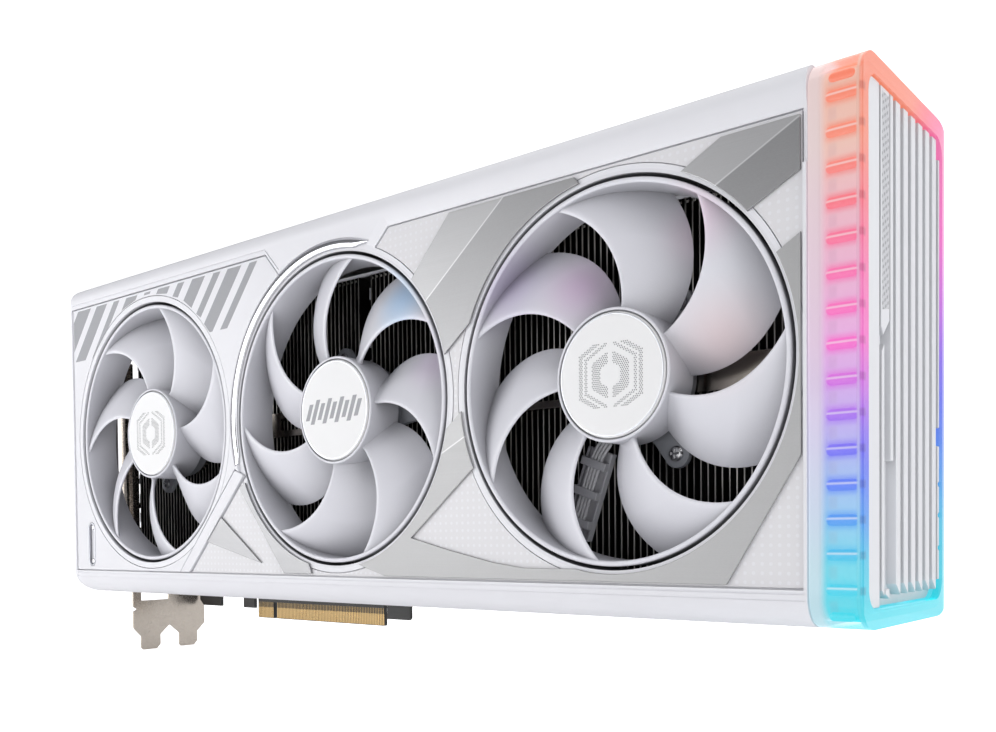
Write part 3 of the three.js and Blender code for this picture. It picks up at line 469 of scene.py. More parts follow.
class Paint:
    """A material on a Principled shader, with short ways to add nodes."""

    def __init__(self, name, base, roughness, metallic=0.0, **sockets):
        self.material = bpy.data.materials.new(name)
        self.material.use_nodes = True
        self.tree = self.material.node_tree
        self.shader = self.tree.nodes["Principled BSDF"]
        self.set("Base Color", base)
        self.set("Roughness", roughness)
        self.set("Metallic", metallic)
        for socket, value in sockets.items():
            self.set(socket.replace("_", " ").title().replace("Ior", "IOR"), value)

    def set(self, socket, value):
        self.shader.inputs[socket].default_value = value

    def link(self, output, socket):
        self.tree.links.new(output, self.shader.inputs[socket])

    def feed(self, socket, value):
        if isinstance(value, bpy.types.NodeSocket):
            self.tree.links.new(value, socket)
        else:
            socket.default_value = value

    def node(self, kind, settings=None, **inputs):
        """A shader node with its inputs set by name, or by number as i0, i1 and so on."""
        made = self.tree.nodes.new(kind)
        for key, value in (settings or {}).items():
            setattr(made, key, value)
        for key, value in inputs.items():
            self.feed(made.inputs[int(key[1:]) if key[1:].isdigit() else key], value)
        return made

    def math(self, operation, a, b=0.0, c=0.0):
        return self.node("ShaderNodeMath", {"operation": operation}, i0=a, i1=b, i2=c).outputs[0]

    def times(self, a, b):
        return self.math("MULTIPLY", a, b)

    def gamma(self, colour, power):
        return self.node("ShaderNodeGamma", i0=colour, i1=power).outputs[0]

    def vector(self, operation, a, b, output=0):
        return self.node("ShaderNodeVectorMath", {"operation": operation}, i0=a, i1=b).outputs[output]

    def coords(self, scale=(1, 1, 1)):
        """Card millimetres, scaled."""
        place = self.node("ShaderNodeTexCoord").outputs["Object"]
        moved = self.vector("SUBTRACT", place, tuple(ORIGIN))
        return self.vector("MULTIPLY", moved, tuple(s / MM for s in scale))

    def axes(self):
        """Card millimetres along X, Y and Z."""
        return self.node("ShaderNodeSeparateXYZ", i0=self.coords()).outputs

    def noise(self, vector, scale, detail=3.0, roughness=0.5):
        made = self.node("ShaderNodeTexNoise", Vector=vector, Scale=scale, Detail=detail, Roughness=roughness)
        return made.outputs["Fac"]

    def between(self, factor, low, high):
        """A number that runs from low to high as the factor runs from 0 to 1."""
        return self.math("MULTIPLY_ADD", factor, high - low, low)

    def ranged(self, value, start, end, low, high, blend="SMOOTHSTEP"):
        """A number that runs from low to high as the value runs from start to end."""
        return self.node("ShaderNodeMapRange", {"interpolation_type": blend}, Value=value,
                         i1=start, i2=end, i3=low, i4=high).outputs[0]

    def mix(self, factor, first, second):
        made = self.node("ShaderNodeMix", {"data_type": "RGBA"})
        for socket, value in ((0, factor), (6, first), (7, second)):
            self.feed(made.inputs[socket], value)
        return made.outputs[2]

    def bump(self, height, strength, distance=0.1):
        made = self.node("ShaderNodeBump", Height=height, Strength=strength, Distance=distance * MM)
        self.link(made.outputs["Normal"], "Normal")

    def grain(self, low, high, strength, scale=5.5):
        """A fine grain in the gloss, between two roughnesses, and in the surface."""
        fine = self.noise(self.coords(), scale, 4.0, 0.6)
        self.link(self.between(fine, low, high), "Roughness")
        self.bump(fine, strength, 0.03)

    def clouded(self, colour, scale=0.035, detail=3.0, share=0.965):
        """The colour with faint darker clouds."""
        return self.mix(self.noise(self.coords(), scale, detail), scaled(colour, share), colour)

    def ramp(self, factor, stops):
        made = self.node("ShaderNodeValToRGB", i0=factor)
        elements = made.color_ramp.elements
        elements[0].position, elements[0].color = stops[0]
        elements[1].position, elements[1].color = stops[-1]
        for position, colour in stops[1:-1]:
            elements.new(position).color = colour
        return made.outputs[0]


# A thin clear coat, as on satin plastic and paint.
COATED = {"coat_weight": 0.12, "coat_roughness": 0.25}
BLADE_WHITE = srgb(220, 220, 227)


def moulded(name, colour, roughness):
    """Satin moulded plastic: a fine spark-eroded grain, faint clouding and uneven gloss."""
    paint = Paint(name, colour, roughness, **COATED)
    paint.link(paint.clouded(colour), "Base Color")
    paint.grain(roughness - 0.07, roughness + 0.09, 0.1)
    return paint.material


def shell_white(name, colour):
    """The shroud's white plastic, with painted shade: dark grey on the walls inside the three fan mouths."""
    paint = Paint(name, colour, 0.42, **COATED)
    x, y, z = paint.axes()
    flat = paint.node("ShaderNodeCombineXYZ", i0=x, i2=z).outputs[0]
    mouth_shade_mask = 0.0
    for fan in FANS:
        away = paint.vector("DISTANCE", flat, (fan.x, 0.0, fan.z), "Value")
        mouth_shade_mask = paint.math("MAXIMUM", mouth_shade_mask, paint.math("LESS_THAN", away, MOUTH_SHADE_RADIUS))
    # Painted shade inside the fan mouths, deepening with depth behind the front face.
    deep = paint.ranged(y, 0.9, 2.2, 0.0, 0.9, "LINEAR")
    paint.link(paint.mix(paint.times(mouth_shade_mask, deep), paint.clouded(colour), srgb(92, 92, 96)), "Base Color")
    paint.grain(0.35, 0.5, 0.1)
    return paint.material


def dotted(name, colour, dot_colour, pitch):
    """Painted panel with a grid of small paler dots, as printed through a screen."""
    paint = Paint(name, colour, 0.46, coat_weight=0.1, coat_roughness=0.3)
    x, _, z = paint.axes()
    squares = []
    for output in (x, z):
        cell = paint.math("FRACT", paint.math("DIVIDE", output, pitch))
        squares.append(paint.math("POWER", paint.math("SUBTRACT", cell, 0.5), 2.0))
    distance = paint.math("SQRT", paint.math("ADD", squares[0], squares[1]))
    dot = paint.ranged(distance, 0.17, 0.24, 1.0, 0.0, "LINEAR")
    fine = paint.noise(paint.coords(), 4.5, 4.0, 0.6)
    paint.link(paint.mix(dot, colour, dot_colour), "Base Color")
    paint.link(paint.between(dot, 0.46, 0.32), "Roughness")
    raised = paint.math("ADD", paint.times(dot, 0.8), paint.times(fine, 0.3))
    paint.bump(raised, 0.12, 0.05)
    return paint.material


def brushed(name, colour, roughness, along=(0.02, 1, 6), metallic=1.0, contrast=0.1):
    """Brushed metal: long fine streaks in the colour, the gloss and the surface."""
    paint = Paint(name, colour, roughness, metallic)
    streaks = paint.noise(paint.coords(along), 1.0, 5.0, 0.65)
    broad = paint.noise(paint.coords((0.01, 0.2, 0.4)), 1.0, 2.0)
    paint.link(paint.mix(streaks, scaled(colour, 1 - contrast), scaled(colour, 1 + contrast)), "Base Color")
    blend = paint.math("ADD", paint.times(streaks, 0.6), paint.times(broad, 0.4))
    paint.link(paint.between(blend, roughness - 0.1, roughness + 0.12), "Roughness")
    paint.bump(streaks, 0.12, 0.02)
    return paint.material


def polished(name, colour, roughness):
    """Polished or plated metal with faint smudges and hairlines."""
    paint = Paint(name, colour, roughness, 1.0)
    smudge = paint.noise(paint.coords(), 0.12, 4.0, 0.6)
    hairs = paint.noise(paint.coords((0.3, 0.3, 9)), 1.0, 2.0)
    paint.link(paint.mix(smudge, scaled(colour, 0.9), colour), "Base Color")
    blend = paint.math("ADD", paint.times(smudge, 0.7), paint.times(hairs, 0.3))
    paint.link(paint.between(blend, max(0.03, roughness - 0.06), roughness + 0.1), "Roughness")
    paint.bump(hairs, 0.03, 0.02)
    return paint.material


def fin_black(name):
    """Black coated fins: an uneven thin coat over bright metal, with painted highlights in patchy pale warm
    grey along the front edges.
    """
    paint = Paint(name, srgb(15, 15, 15), 0.45, 0.4)
    patch = paint.noise(paint.coords((3.0, 0.2, 0.05)), 1.0, 3.0)
    # Painted highlight: the fins' front edges take a pale grey in patches where light would catch them.
    edge_highlight_mask = paint.ranged(paint.axes()[1], 21.56, 21.7, 1.0, 0.0, "LINEAR")
    patchy_mask = paint.times(edge_highlight_mask, paint.ranged(patch, 0.34, 0.56, 0.3, 1.0, "LINEAR"))
    paint.link(paint.mix(patchy_mask, srgb(11, 11, 11), srgb(206, 203, 198)), "Base Color")
    paint.link(paint.between(patch, 0.3, 0.5), "Roughness")
    return paint.material


# The light ring's colours from its lower to its upper end.
GLOW_STOPS = (
    (0.02, srgb(25, 232, 245)),
    (0.12, srgb(0, 212, 243)),
    (0.175, srgb(20, 176, 248)),
    (0.23, srgb(60, 146, 252)),
    (0.285, srgb(95, 114, 252)),
    (0.34, srgb(150, 105, 250)),
    (0.41, srgb(215, 115, 240)),
    (0.50, srgb(255, 110, 215)),
    (0.62, srgb(255, 115, 190)),
    (0.74, srgb(255, 118, 140)),
    (0.84, srgb(255, 150, 120)),
    (1.00, srgb(255, 150, 112)),
)


# The paler colours of the strip between the bars.
BODY_STOPS = (
    (0.02, srgb(62, 224, 242)),
    (0.11, srgb(100, 220, 241)),
    (0.20, srgb(142, 202, 246)),
    (0.28, srgb(164, 188, 246)),
    (0.34, srgb(186, 176, 246)),
    (0.42, srgb(216, 172, 242)),
    (0.50, srgb(240, 176, 234)),
    (0.62, srgb(244, 182, 216)),
    (0.74, srgb(246, 190, 202)),
    (0.84, srgb(247, 200, 186)),
    (1.00, srgb(247, 188, 164)),
)


def height_share(paint):
    """0 at the card's lower edge to 1 at its upper edge, less towards the back, where the light is pinker."""
    _, y, z = paint.axes()
    return paint.times(paint.math("DIVIDE", z, TAIL_HIGH.z), paint.ranged(y, 12.0, 68.0, 1.0, 0.64))


def off_bar(paint, middle=0.5):
    """How far a point lies from its light bar's middle height, as a share of the pitch."""
    lifted = paint.math("SUBTRACT", paint.axes()[2], PILL_FIRST - PILL_PITCH / 2)
    cell = paint.math("FRACT", paint.math("DIVIDE", lifted, PILL_PITCH))
    return paint.math("ABSOLUTE", paint.math("SUBTRACT", cell, middle))


def lit_bar(name):
    """A light bar: saturated colour with a painted highlight, a pale line along its upper half."""
    paint = Paint(name, (0.03, 0.03, 0.03, 1), 0.35, coat_weight=0.3, coat_roughness=0.1)
    colour = paint.ramp(height_share(paint), GLOW_STOPS)
    bar_highlight = paint.ranged(off_bar(paint, 0.545), 0.005, 0.055, 0.5, 0.0)
    grain = paint.noise(paint.coords(), 1.4, 3.0)
    soft = paint.mix(paint.times(grain, 0.08), paint.gamma(colour, 1.45), (1, 1, 1, 1))
    paint.link(paint.mix(bar_highlight, soft, (1, 0.97, 0.96, 1)), "Emission Color")
    paint.set("Emission Strength", 0.92)
    paint.bump(grain, 0.05, 0.05)
    return paint.material


def glow_body(name):
    """The strip behind the bars: pastel light, deeper round each bar and in a stripe between them."""
    paint = Paint(name, (0.04, 0.04, 0.045, 1), 0.35, coat_weight=0.3, coat_roughness=0.15)
    pastel = paint.ramp(height_share(paint), BODY_STOPS)
    colour = paint.ramp(height_share(paint), GLOW_STOPS)
    along = paint.axes()[0]
    off = off_bar(paint)
    halo = paint.ranged(off, 0.12, 0.38, 0.85, 0.0)
    inward = paint.ranged(along, 347.2, 349.6, 0.25, 1.0)
    tinted = paint.mix(paint.times(halo, inward), pastel, paint.gamma(colour, 1.25))
    stripe = paint.times(paint.ranged(along, 348.4, 349.0, 0.0, 1.0),
                        paint.ranged(along, 350.4, 351.2, 1.0, 0.0))
    between = paint.ranged(off, 0.25, 0.4, 0.0, 0.16)
    dusky = paint.mix(paint.times(stripe, between), tinted, (0.3, 0.16, 0.28, 1))
    cloud = paint.noise(paint.coords(), 0.7, 4.0)
    shown = paint.mix(paint.times(cloud, 0.1), dusky, (1, 1, 1, 1))
    paint.link(shown, "Emission Color")
    paint.set("Emission Strength", 0.86)
    paint.bump(cloud, 0.06, 0.05)
    return paint.material


def glow_cover(name):
    """Frosted plastic over the strip: nearly clear in front, deep colour on the lip, pale at the back."""
    paint = Paint(name, (0.05, 0.05, 0.05, 1), 0.12, coat_weight=0.4, coat_roughness=0.06)
    colour = paint.ramp(height_share(paint), GLOW_STOPS)
    pastel = paint.ramp(height_share(paint), BODY_STOPS)
    along, depth, _ = paint.axes()
    lip = paint.ranged(along, 356.7, 357.3, 0.0, 1.0)
    side = paint.ranged(depth, 2.2, 6.0, 0.0, 1.0)
    deep = paint.math("MAXIMUM", lip, side)
    edge = paint.ranged(along, 346.8, 349.4, 1.0, 0.0)
    rich = paint.gamma(colour, 1.35)
    near = paint.ranged(depth, 1.4, 2.8, 1.0, 0.0)
    spot = paint.times(paint.times(paint.ranged(off_bar(paint), 0.06, 0.16, 0.8, 0.0), lip), near)
    mixed = paint.mix(paint.times(deep, 0.9), pastel, rich)
    rear = paint.ranged(depth, 60.0, 68.0, 0.0, 0.7)
    fading = paint.mix(rear, mixed, paint.mix(0.5, pastel, (1, 0.92, 0.98, 1)))
    pale = paint.mix(paint.times(edge, 0.6), fading, (0.9, 0.86, 0.92, 1))
    shown = paint.mix(spot, pale, paint.vector("MULTIPLY", rich, (0.6, 0.5, 0.6)))
    paint.link(shown, "Emission Color")
    paint.set("Emission Strength", 0.8)
    shut = paint.ranged(along, 356.0, 356.6, 0.0, 0.85)
    level = paint.math("MAXIMUM", paint.between(deep, 0.1, 0.86), paint.times(edge, 0.8))
    level = paint.math("MAXIMUM", level, shut)
    paint.link(level, "Alpha")
    wave = paint.noise(paint.coords((1, 1, 0.5)), 0.3, 3.0)
    paint.link(paint.between(wave, 0.08, 0.2), "Roughness")
    paint.bump(wave, 0.04, 0.05)
    return paint.material


def two_tone(name, first, second, start, end, metallic=0.75):
    """Brushed metal whose tone changes along a line between two (x, z) points."""
    paint = Paint(name, first, 0.42, metallic)
    x, _, z = paint.axes()
    run = Vector(end) - Vector(start)
    side = Vector((-run.y, run.x)).normalized()
    level = paint.math("ADD", paint.times(x, side.x), paint.times(z, side.y))
    level = paint.math("SUBTRACT", level, side.dot(Vector(start)))
    mask = paint.ranged(level, -0.12, 0.12, 0.0, 1.0, "LINEAR")
    line = paint.ranged(paint.math("ABSOLUTE", level), 0.1, 0.3, 0.55, 0.0, "LINEAR")
    streaks = paint.noise(paint.coords((0.02, 1, 6)), 1.0, 5.0, 0.65)
    grain = paint.noise(paint.coords((1.2, 1, 8)), 1.0, 3.0)
    tone = paint.mix(mask, second, first)
    dark = paint.mix(paint.times(streaks, 0.22), tone, (0.2, 0.2, 0.2, 1))
    speck = paint.mix(paint.times(grain, 0.12), dark, (0.9, 0.9, 0.9, 1))
    paint.link(paint.mix(line, speck, (0.85, 0.85, 0.86, 1)), "Base Color")
    paint.link(paint.between(streaks, 0.34, 0.54), "Roughness")
    paint.bump(streaks, 0.12, 0.02)
    return paint.material


def occlusion_shaded(paint, colour, reach=13.0, power=1.1):
    """The colour with painted shade, darker by how much of its surroundings is taken up by other plastic."""
    open_share = paint.node("ShaderNodeAmbientOcclusion", {"samples": 6}, Distance=reach * MM).outputs["AO"]
    depth = paint.between(paint.math("POWER", open_share, power), 0.38, 1.0)
    return paint.node("ShaderNodeVectorMath", {"operation": "SCALE"}, i0=colour, Scale=depth).outputs[0]


def shaded_white(name, colour, reach):
    """White plastic with painted shade that darkens its narrow gaps."""
    paint = Paint(name, colour, 0.4, **COATED)
    paint.link(occlusion_shaded(paint, paint.clouded(colour, 0.05, 2.0, 0.97), reach, 0.55), "Base Color")
    paint.grain(0.34, 0.48, 0.08)
    return paint.material


def woven(name):
    """Grey print of short slanted dashes in staggered rows."""
    paint = Paint(name, srgb(206, 206, 210), 0.5)
    _, y, z = paint.axes()
    rows = paint.math("DIVIDE", paint.math("SUBTRACT", z, paint.times(y, 0.6)), 1.7)
    row = paint.math("FRACT", rows)
    shifted = paint.math("ADD", y, paint.times(paint.math("FLOOR", rows), 0.55))
    column = paint.math("FRACT", paint.math("DIVIDE", shifted, 1.6))
    dash = paint.times(paint.math("LESS_THAN", row, 0.45), paint.math("LESS_THAN", column, 0.62))
    grain = paint.noise(paint.coords(), 2.5, 4.0)
    patchy_mask = paint.times(dash, paint.between(grain, 0.5, 1.2))
    paint.link(paint.mix(patchy_mask, srgb(208, 209, 213), srgb(160, 161, 166)), "Base Color")
    paint.link(paint.between(grain, 0.4, 0.6), "Roughness")
    paint.bump(patchy_mask, 0.2, 0.1)
    return paint.material


def blade_plastic(name):
    """Satin white plastic, with its colour still to be linked."""
    paint = Paint(name, BLADE_WHITE, 0.36, **COATED)
    paint.grain(0.3, 0.44, 0.05)
    return paint


def plain_blades(name):
    """Blade plastic with painted shade, darker where the blades crowd the hub."""
    paint = blade_plastic(name)
    flat = paint.mix(paint.noise(paint.coords(), 0.05, 2.0), srgb(217, 217, 224), srgb(222, 222, 229))
    paint.link(occlusion_shaded(paint, flat), "Base Color")
    return paint.material


def painted_glow_blades(name, fan, spots):
    """Blade plastic with faint coloured light painted on in soft patches: (x, z, size, share, colour) each,
    and painted shade where crowded.
    """
    paint = blade_plastic(name)
    place = paint.coords()
    shown = BLADE_WHITE
    for x, z, size, share, colour in spots:
        point = (fan.x + x, 7.0, fan.z + z)
        gap = paint.vector("DISTANCE", place, point, "Value")
        shown = paint.mix(paint.ranged(gap, 0.0, size, share, 0.0), shown, colour)
    paint.link(occlusion_shaded(paint, shown), "Base Color")
    return paint.material


def backplate_paint():
    """White painted metal with a row of slanted printed lines."""
    white = srgb(230, 230, 235)
    paint = Paint("backplate_white", white, 0.4, **COATED)
    x, _, z = paint.axes()
    run = paint.math("SUBTRACT", x, paint.times(z, 0.45))
    mask = paint.math("LESS_THAN", paint.math("FRACT", paint.math("DIVIDE", run, 9.0)), 0.18)
    for value, low, high in ((z, 40.0, 96.0), (run, 144.0, 225.0)):
        mask = paint.times(mask, paint.math("GREATER_THAN", value, low))
        mask = paint.times(mask, paint.math("LESS_THAN", value, high))
    paint.link(paint.mix(mask, white, srgb(176, 176, 180)), "Base Color")
    paint.grain(0.34, 0.5, 0.1, 4.5)
    return paint.material


SHELL = shell_white("white_shell", srgb(228, 228, 233))
PANEL_WHITE = moulded("panel_white", srgb(224, 224, 229), 0.38)
BADGE_WHITE = moulded("badge_white", srgb(236, 236, 237), 0.5)
DOTTED = dotted("dotted_white", srgb(219, 218, 221), srgb(225, 225, 229), 2.3)
DARK_SILVER = brushed("dark_silver_trim", srgb(158, 158, 160), 0.42, metallic=0.75)
PRINT_GREY = moulded("print_grey", srgb(154, 155, 160), 0.5)
CHROME = polished("polished_trim", srgb(225, 225, 229), 0.12)
NICKEL = brushed("nickel_plate", srgb(200, 191, 181), 0.26, along=(0.3, 1, 5), contrast=0.06)
STEEL = polished("bright_steel", srgb(190, 190, 192), 0.2)
DARK_STEEL = polished("dark_steel", srgb(165, 158, 150), 0.2)
GOLD = polished("gold_plate", srgb(186, 158, 112), 0.26)
COPPER = polished("copper", srgb(190, 120, 80), 0.25)
BLACK_FIN = fin_black("fin_black")
BOARD_BLACK = moulded("board_black", srgb(24, 24, 23), 0.42)
BLACK_PLASTIC = moulded("black_plastic", srgb(26, 26, 27), 0.5)
GREY_PLASTIC = moulded("grey_plastic", srgb(146, 148, 154), 0.45)
DARK_GREY = moulded("dark_grey_plastic", srgb(186, 186, 191), 0.4)
WIRE_WHITE = moulded("wire_white", srgb(205, 205, 208), 0.5)
CHIP = polished("silicon", srgb(70, 72, 80), 0.15)
LIT_BAR = lit_bar("lit_bar")
GLOW_INNER = glow_body("glow_inner")
GLOW_COVER = glow_cover("glow_cover")
GREY_SILVER = polished("grey_silver", srgb(190, 192, 198), 0.3)
TWO_TONE_UPPER = two_tone("silver_two_tone_upper", srgb(178, 178, 180), srgb(156, 156, 158),
                          (220.3, 96.6), (250, 120.3))
TWO_TONE_CORNER = two_tone("silver_two_tone_corner", srgb(188, 188, 190), srgb(154, 154, 156),
                           (320.7, 109.8), (342.5, 121))
LOWER_SILVER = two_tone("silver_lower", srgb(178, 178, 179), srgb(168, 168, 169),
                        (224.5, 47.5), (235, 52.5), 0.3)
GRILLE_WHITE = shaded_white("grille_white", srgb(236, 237, 241), 5.0)
WOVEN_GREY = woven("woven_grey")
BLADE_PLAIN = plain_blades("blade_white")
BLADE_BLUE = painted_glow_blades("blade_blue_glow", FANS[1], [
    (31, 33, 17, 0.8, srgb(172, 208, 242)),
    (40, 15, 15, 0.6, srgb(226, 204, 232)),
])
BLADE_PINK = painted_glow_blades("blade_pink_glow", FANS[2], [
    (-14, 28, 17, 0.7, srgb(208, 176, 212)),
    (25, 38, 16, 0.7, srgb(222, 186, 208)),
    (31, 6, 19, 0.6, srgb(234, 206, 208)),
    (-38, 30, 20, 0.6, srgb(190, 176, 212)),
])
PRINT_DARK = moulded("print_dark", srgb(112, 112, 115), 0.45)
BACKPLATE_WHITE = backplate_paint()

# ---------------------------------------------------------------- housing


def left_panel_outline(grow):
    radius = 57.5 - grow
    return [
        (1.5 - grow, PANEL_FOOT - grow),
        (81.8 + grow, PANEL_FOOT - grow),
        (118.9, 48.2 - grow),
        *rim(1, radius, 197.2, 118.6 - 1.5 * grow),
        (139.6 + grow, 124.5 + grow),
        (1.5 - grow, 124.5 + grow),
    ]


def dotted_panel_outline(grow):
    return [
        (88.9 - grow, PANEL_FOOT - grow),
        (PANEL_END + grow, PANEL_FOOT - grow),
        (PANEL_END + grow, PANEL_TOP + grow),
        (202.8 - grow, PANEL_TOP + grow),
        *rim(1, PANEL_CLEAR - grow, 66.4 + 2 * grow, -157.5),
    ]


def beam_outline(grow):
    return [
        (82.1 - grow, PANEL_FOOT - grow),
        (88.5 + grow, PANEL_FOOT - grow),
        (124.6 + 2 * grow, 46 - grow),
        (119.3 - grow, 48 + 2 * grow),
    ]


def crescent_outline(grow):
    return [
        *rim(1, 57.2 + grow, 196.5 + grow, 70 - grow),
        *rim(1, 54.2 - grow, 72.5, 196.5 + grow),
    ]


def slope_cut():
    """The sloping band along the upper edge of the dotted panel, with its diagonal start."""
    right, foot = SHROUD_HIGH.x + 1, (204.0, 110.0)
    outer = [(190.0, 117.2), (200.9, 127.0), (right, 127.0), (right, 110.0), foot]
    inner = [(193.6, 114.6), (203.2, 123.0), (right, 123.0), (right, 110.0), foot]
    rows = ((-1.0, outer), (0.0, outer), (0.9, inner))
    return skin([(a, y, b) for y, loop in rows for a, b in loop], len(outer))


def groove(start, end, width=0.45, depth=0.35):
    """A fine line cut into the front face between two (x, z) points."""
    a, b = Vector(start), Vector(end)
    side = (b - a).normalized().orthogonal() * width / 2
    return prism([tuple(a + side), tuple(a - side), tuple(b - side), tuple(b + side)], (-1, depth))


def shroud_cuts():
    """Everything that is cut out of the shroud's solid outline."""
    back = SHROUD_HIGH.y + 1
    low, high = SHROUD_LOW.z, SHROUD_HIGH.z
    cuts = [
        block((SHROUD_LOW.x + WALL, SHROUD_HIGH.x - WALL), (FRONT_WALL, back), (low + WALL, high - WALL)),
        block((SHROUD_LOW.x - 1, SHROUD_LOW.x + 3), (20.4, back), (1.5, 126)),
        block((SHROUD_LOW.x - 1, 0.9), (20.4, back), (-2, 2)),
        block((SHROUD_HIGH.x - 3, SHROUD_HIGH.x + 1), (8, back - 3.5), (10, 124)),
        prism(left_panel_outline(0.4), (-1, 2)),
        prism(beam_outline(0.4), BEAM_CUT),
        prism(dotted_panel_outline(0.4), (-1, 2.02)),
        prism(crescent_outline(0.3), (-1, 1.0)),
        slope_cut(),
        mouth(FANS[1], PANEL_CLEAR, high=RIM_FRONTS[1]),
        groove((1.6, 126.5), (139.9, 126.5)),
        groove((139.7, 126.6), (147.6, 118.2)),
        groove((1.6, 7.8), (SHROUD_HIGH.x - 0.8, 7.8), 0.35),
        groove((1.6, 6.2), (SHROUD_HIGH.x - 0.8, 6.2), 0.3),
        groove((1.0, 9.5), (1.0, 124.0), 0.3),
    ]
    for start in (24, 242):
        for i in range(7):
            x = start + 12 * i
            slant = [(x, 44), (x + 6, 44), (x + 16, 16), (x + 10, 16)]
            cuts.append(prism(slant, (high - 4, high + 1), "z"))
    for i in range(5):
        window = rounded_rect((24 + 62 * i, 72 + 62 * i), (16, 46), (2, 2, 2, 2))
        cuts.append(prism(window, (low - 1, low + 4), "z"))
    for node, half, front in (("power_connector", 13, 46), ("bios_switch_body", 7.5, 55)):
        part_low, part_high = box_mm(node)
        middle = (part_low.x + part_high.x) / 2
        cuts.append(block((middle - half, middle + half), (front, back), (high - 4, high + 1)))
    return cuts


def shroud():
    low, high = SHROUD_LOW, SHROUD_HIGH
    section = rounded_rect((0, high.y), (low.z, high.z), (8, 0, 0, 6), 10)
    elevation = rounded_rect((low.x, high.x), (low.z, high.z), (9, 0.5, 0.5, 5), 10)
    ducts = []
    for fan, front in zip(FANS, RIM_FRONTS):
        outer, inner = (circle(fan.centre, radius, 144) for radius in (DUCT_RADIUS, MOUTH_RADIUS - 0.5))
        ducts.append(prism(outer, (front, DUCT_BACK), holes=[inner]))
    mouths = [mouth(fan, MOUTH_RADIUS, high=DUCT_BACK + 1) for fan in FANS]
    carved("shroud_shell", prism(section, (low.x, high.x), "x"), [
        ("INTERSECT", [prism(elevation, (-1, high.y + 1))]),
        ("DIFFERENCE", shroud_cuts()),
        ("UNION", ducts),
        ("DIFFERENCE", mouths + [prism(beam_outline(0.4), BEAM_CUT)]),
    ], SHELL, "front_shroud", edge=0.3)


def left_panel():
    slot = rounded_rect((11, 17), (10.6, 30), (2.9,) * 4)
    cuts = [mouth(FANS[0], PANEL_CLEAR), prism(slot, (-1, 3))]
    carved("left_panel_plate", prism(left_panel_outline(0), (0.2, 1.7), edge=0.3), [("DIFFERENCE", cuts)],
           PANEL_WHITE, "left_panel")
    ring = prism(rounded_rect((11.1, 16.9), (10.7, 29.9), (2.85,) * 4), (0.0, 0.9), edge=0.25,
                 holes=[rounded_rect((11.9, 16.1), (11.5, 29.1), (2.05,) * 4)])
    floor = prism(rounded_rect((11.8, 16.2), (11.4, 29.2), (2.1,) * 4), (1.2, 1.7), edge=0.1)
    solid("slot_bezel", ring, GREY_SILVER)
    solid("slot_floor", floor, PANEL_WHITE)
    for name, z in (("slot_pin_lower", 12.9), ("slot_pin_upper", 27.7)):
        solid(name, disc(1.1, 14, z, (0.55, 1.3), edge=0.25, count=24), STEEL)


def printed_bars():
    """Slanted bars printed on the left panel: a plain repeated pattern."""
    shape = Shape()
    film = (0.185, 0.2)
    keep_out = PANEL_CLEAR + 0.3
    lean = 0.86

    def bar(x, width, low, high):
        foot = x - (high - low) * lean
        outline = [(x, high), (x + width, high), (foot + width, low), (foot, low)]
        points = []
        for (a, b), (c, d) in zip(outline, outline[1:] + outline[:1]):
            points += [(a + (c - a) * k / 24, b + (d - b) * k / 24) for k in range(24)]
        clear = [p for p in points if (Vector(p) - Vector(FANS[0].centre)).length > keep_out and p[0] > 2.0]
        if len(clear) > 8:
            shape.join(prism(clear, film))

    for x in (22, 46, 70, 94):
        bar(x, 8.5, 101.6, 123.6)
        bar(x + 14, 4.5, 101.6, 123.6)
    for x, width in ((117, 8.5), (130.5, 4.5), (6, 11)):
        bar(x, width, 101.6, 123.6)
    solid("printed_bars", shape, PRINT_GREY)


def dotted_panel():
    cuts = [mouth(FANS[2], PANEL_CLEAR), prism(beam_outline(0.3), (-1, 3))]
    carved("dotted_panel_plate", prism(dotted_panel_outline(0), (1.0, 1.7), edge=0.2), [("DIFFERENCE", cuts)],
           DOTTED, "dotted_panel")


def diagonal_beam():
    mouths = [mouth(fan, TRIM_CLEAR) for fan in FANS[:2]]
    carved("diagonal_beam_bar", prism(beam_outline(0), (0.1, 1.7), edge=0.35), [("DIFFERENCE", mouths)],
           PANEL_WHITE, "diagonal_beam")


def crescent():
    """A polished bar with a rounded top that follows the middle fan's mouth and tapers at its end."""
    start, end, steps = 196.5, 70.0, 64
    inner, outer = 54.2, 57.2
    points = []
    across = 8
    for i in range(steps + 1):
        share = i / steps
        angle = math.radians(start + (end - start) * share)
        taper = min(1, (1 - share) * 16 + 0.12, share * 16 + 0.5)
        wide = (outer - inner) * taper
        for k in range(across + 1):
            turn = math.pi * k / across
            radius = outer - wide * (1 - math.cos(turn)) / 2
            y = 0.72 - 0.72 * math.sin(turn) ** 0.6
            points.append((FANS[1].x + radius * math.cos(angle), y, FANS[1].z + radius * math.sin(angle)))
    bar = skin(points, across + 1)
    solid("crescent_bar", bar, CHROME, replaces=["crescent_trim"], angle=60)


def upper_trim_outline():
    return [
        (230, 121.6), (277, 121.6),
        *rim(2, TRIM_CLEAR, 99.8, 157.4),
        *rim(1, TRIM_CLEAR, 13.4, 44.3),
    ]


def lower_trim_outline():
    return [
        *rim(2, TRIM_CLEAR, 185.8, 205),
        (212, 22), (228, 18.2), (246, 14.5), (258, 13),
        *rim(2, TRIM_CLEAR, 257.5, 386.5),
        (342.8, 94), (342.8, 41.2), (323, 9.6), (199.5, 9.6),
        *rim(1, TRIM_CLEAR, -76.6, -10.9),
    ]


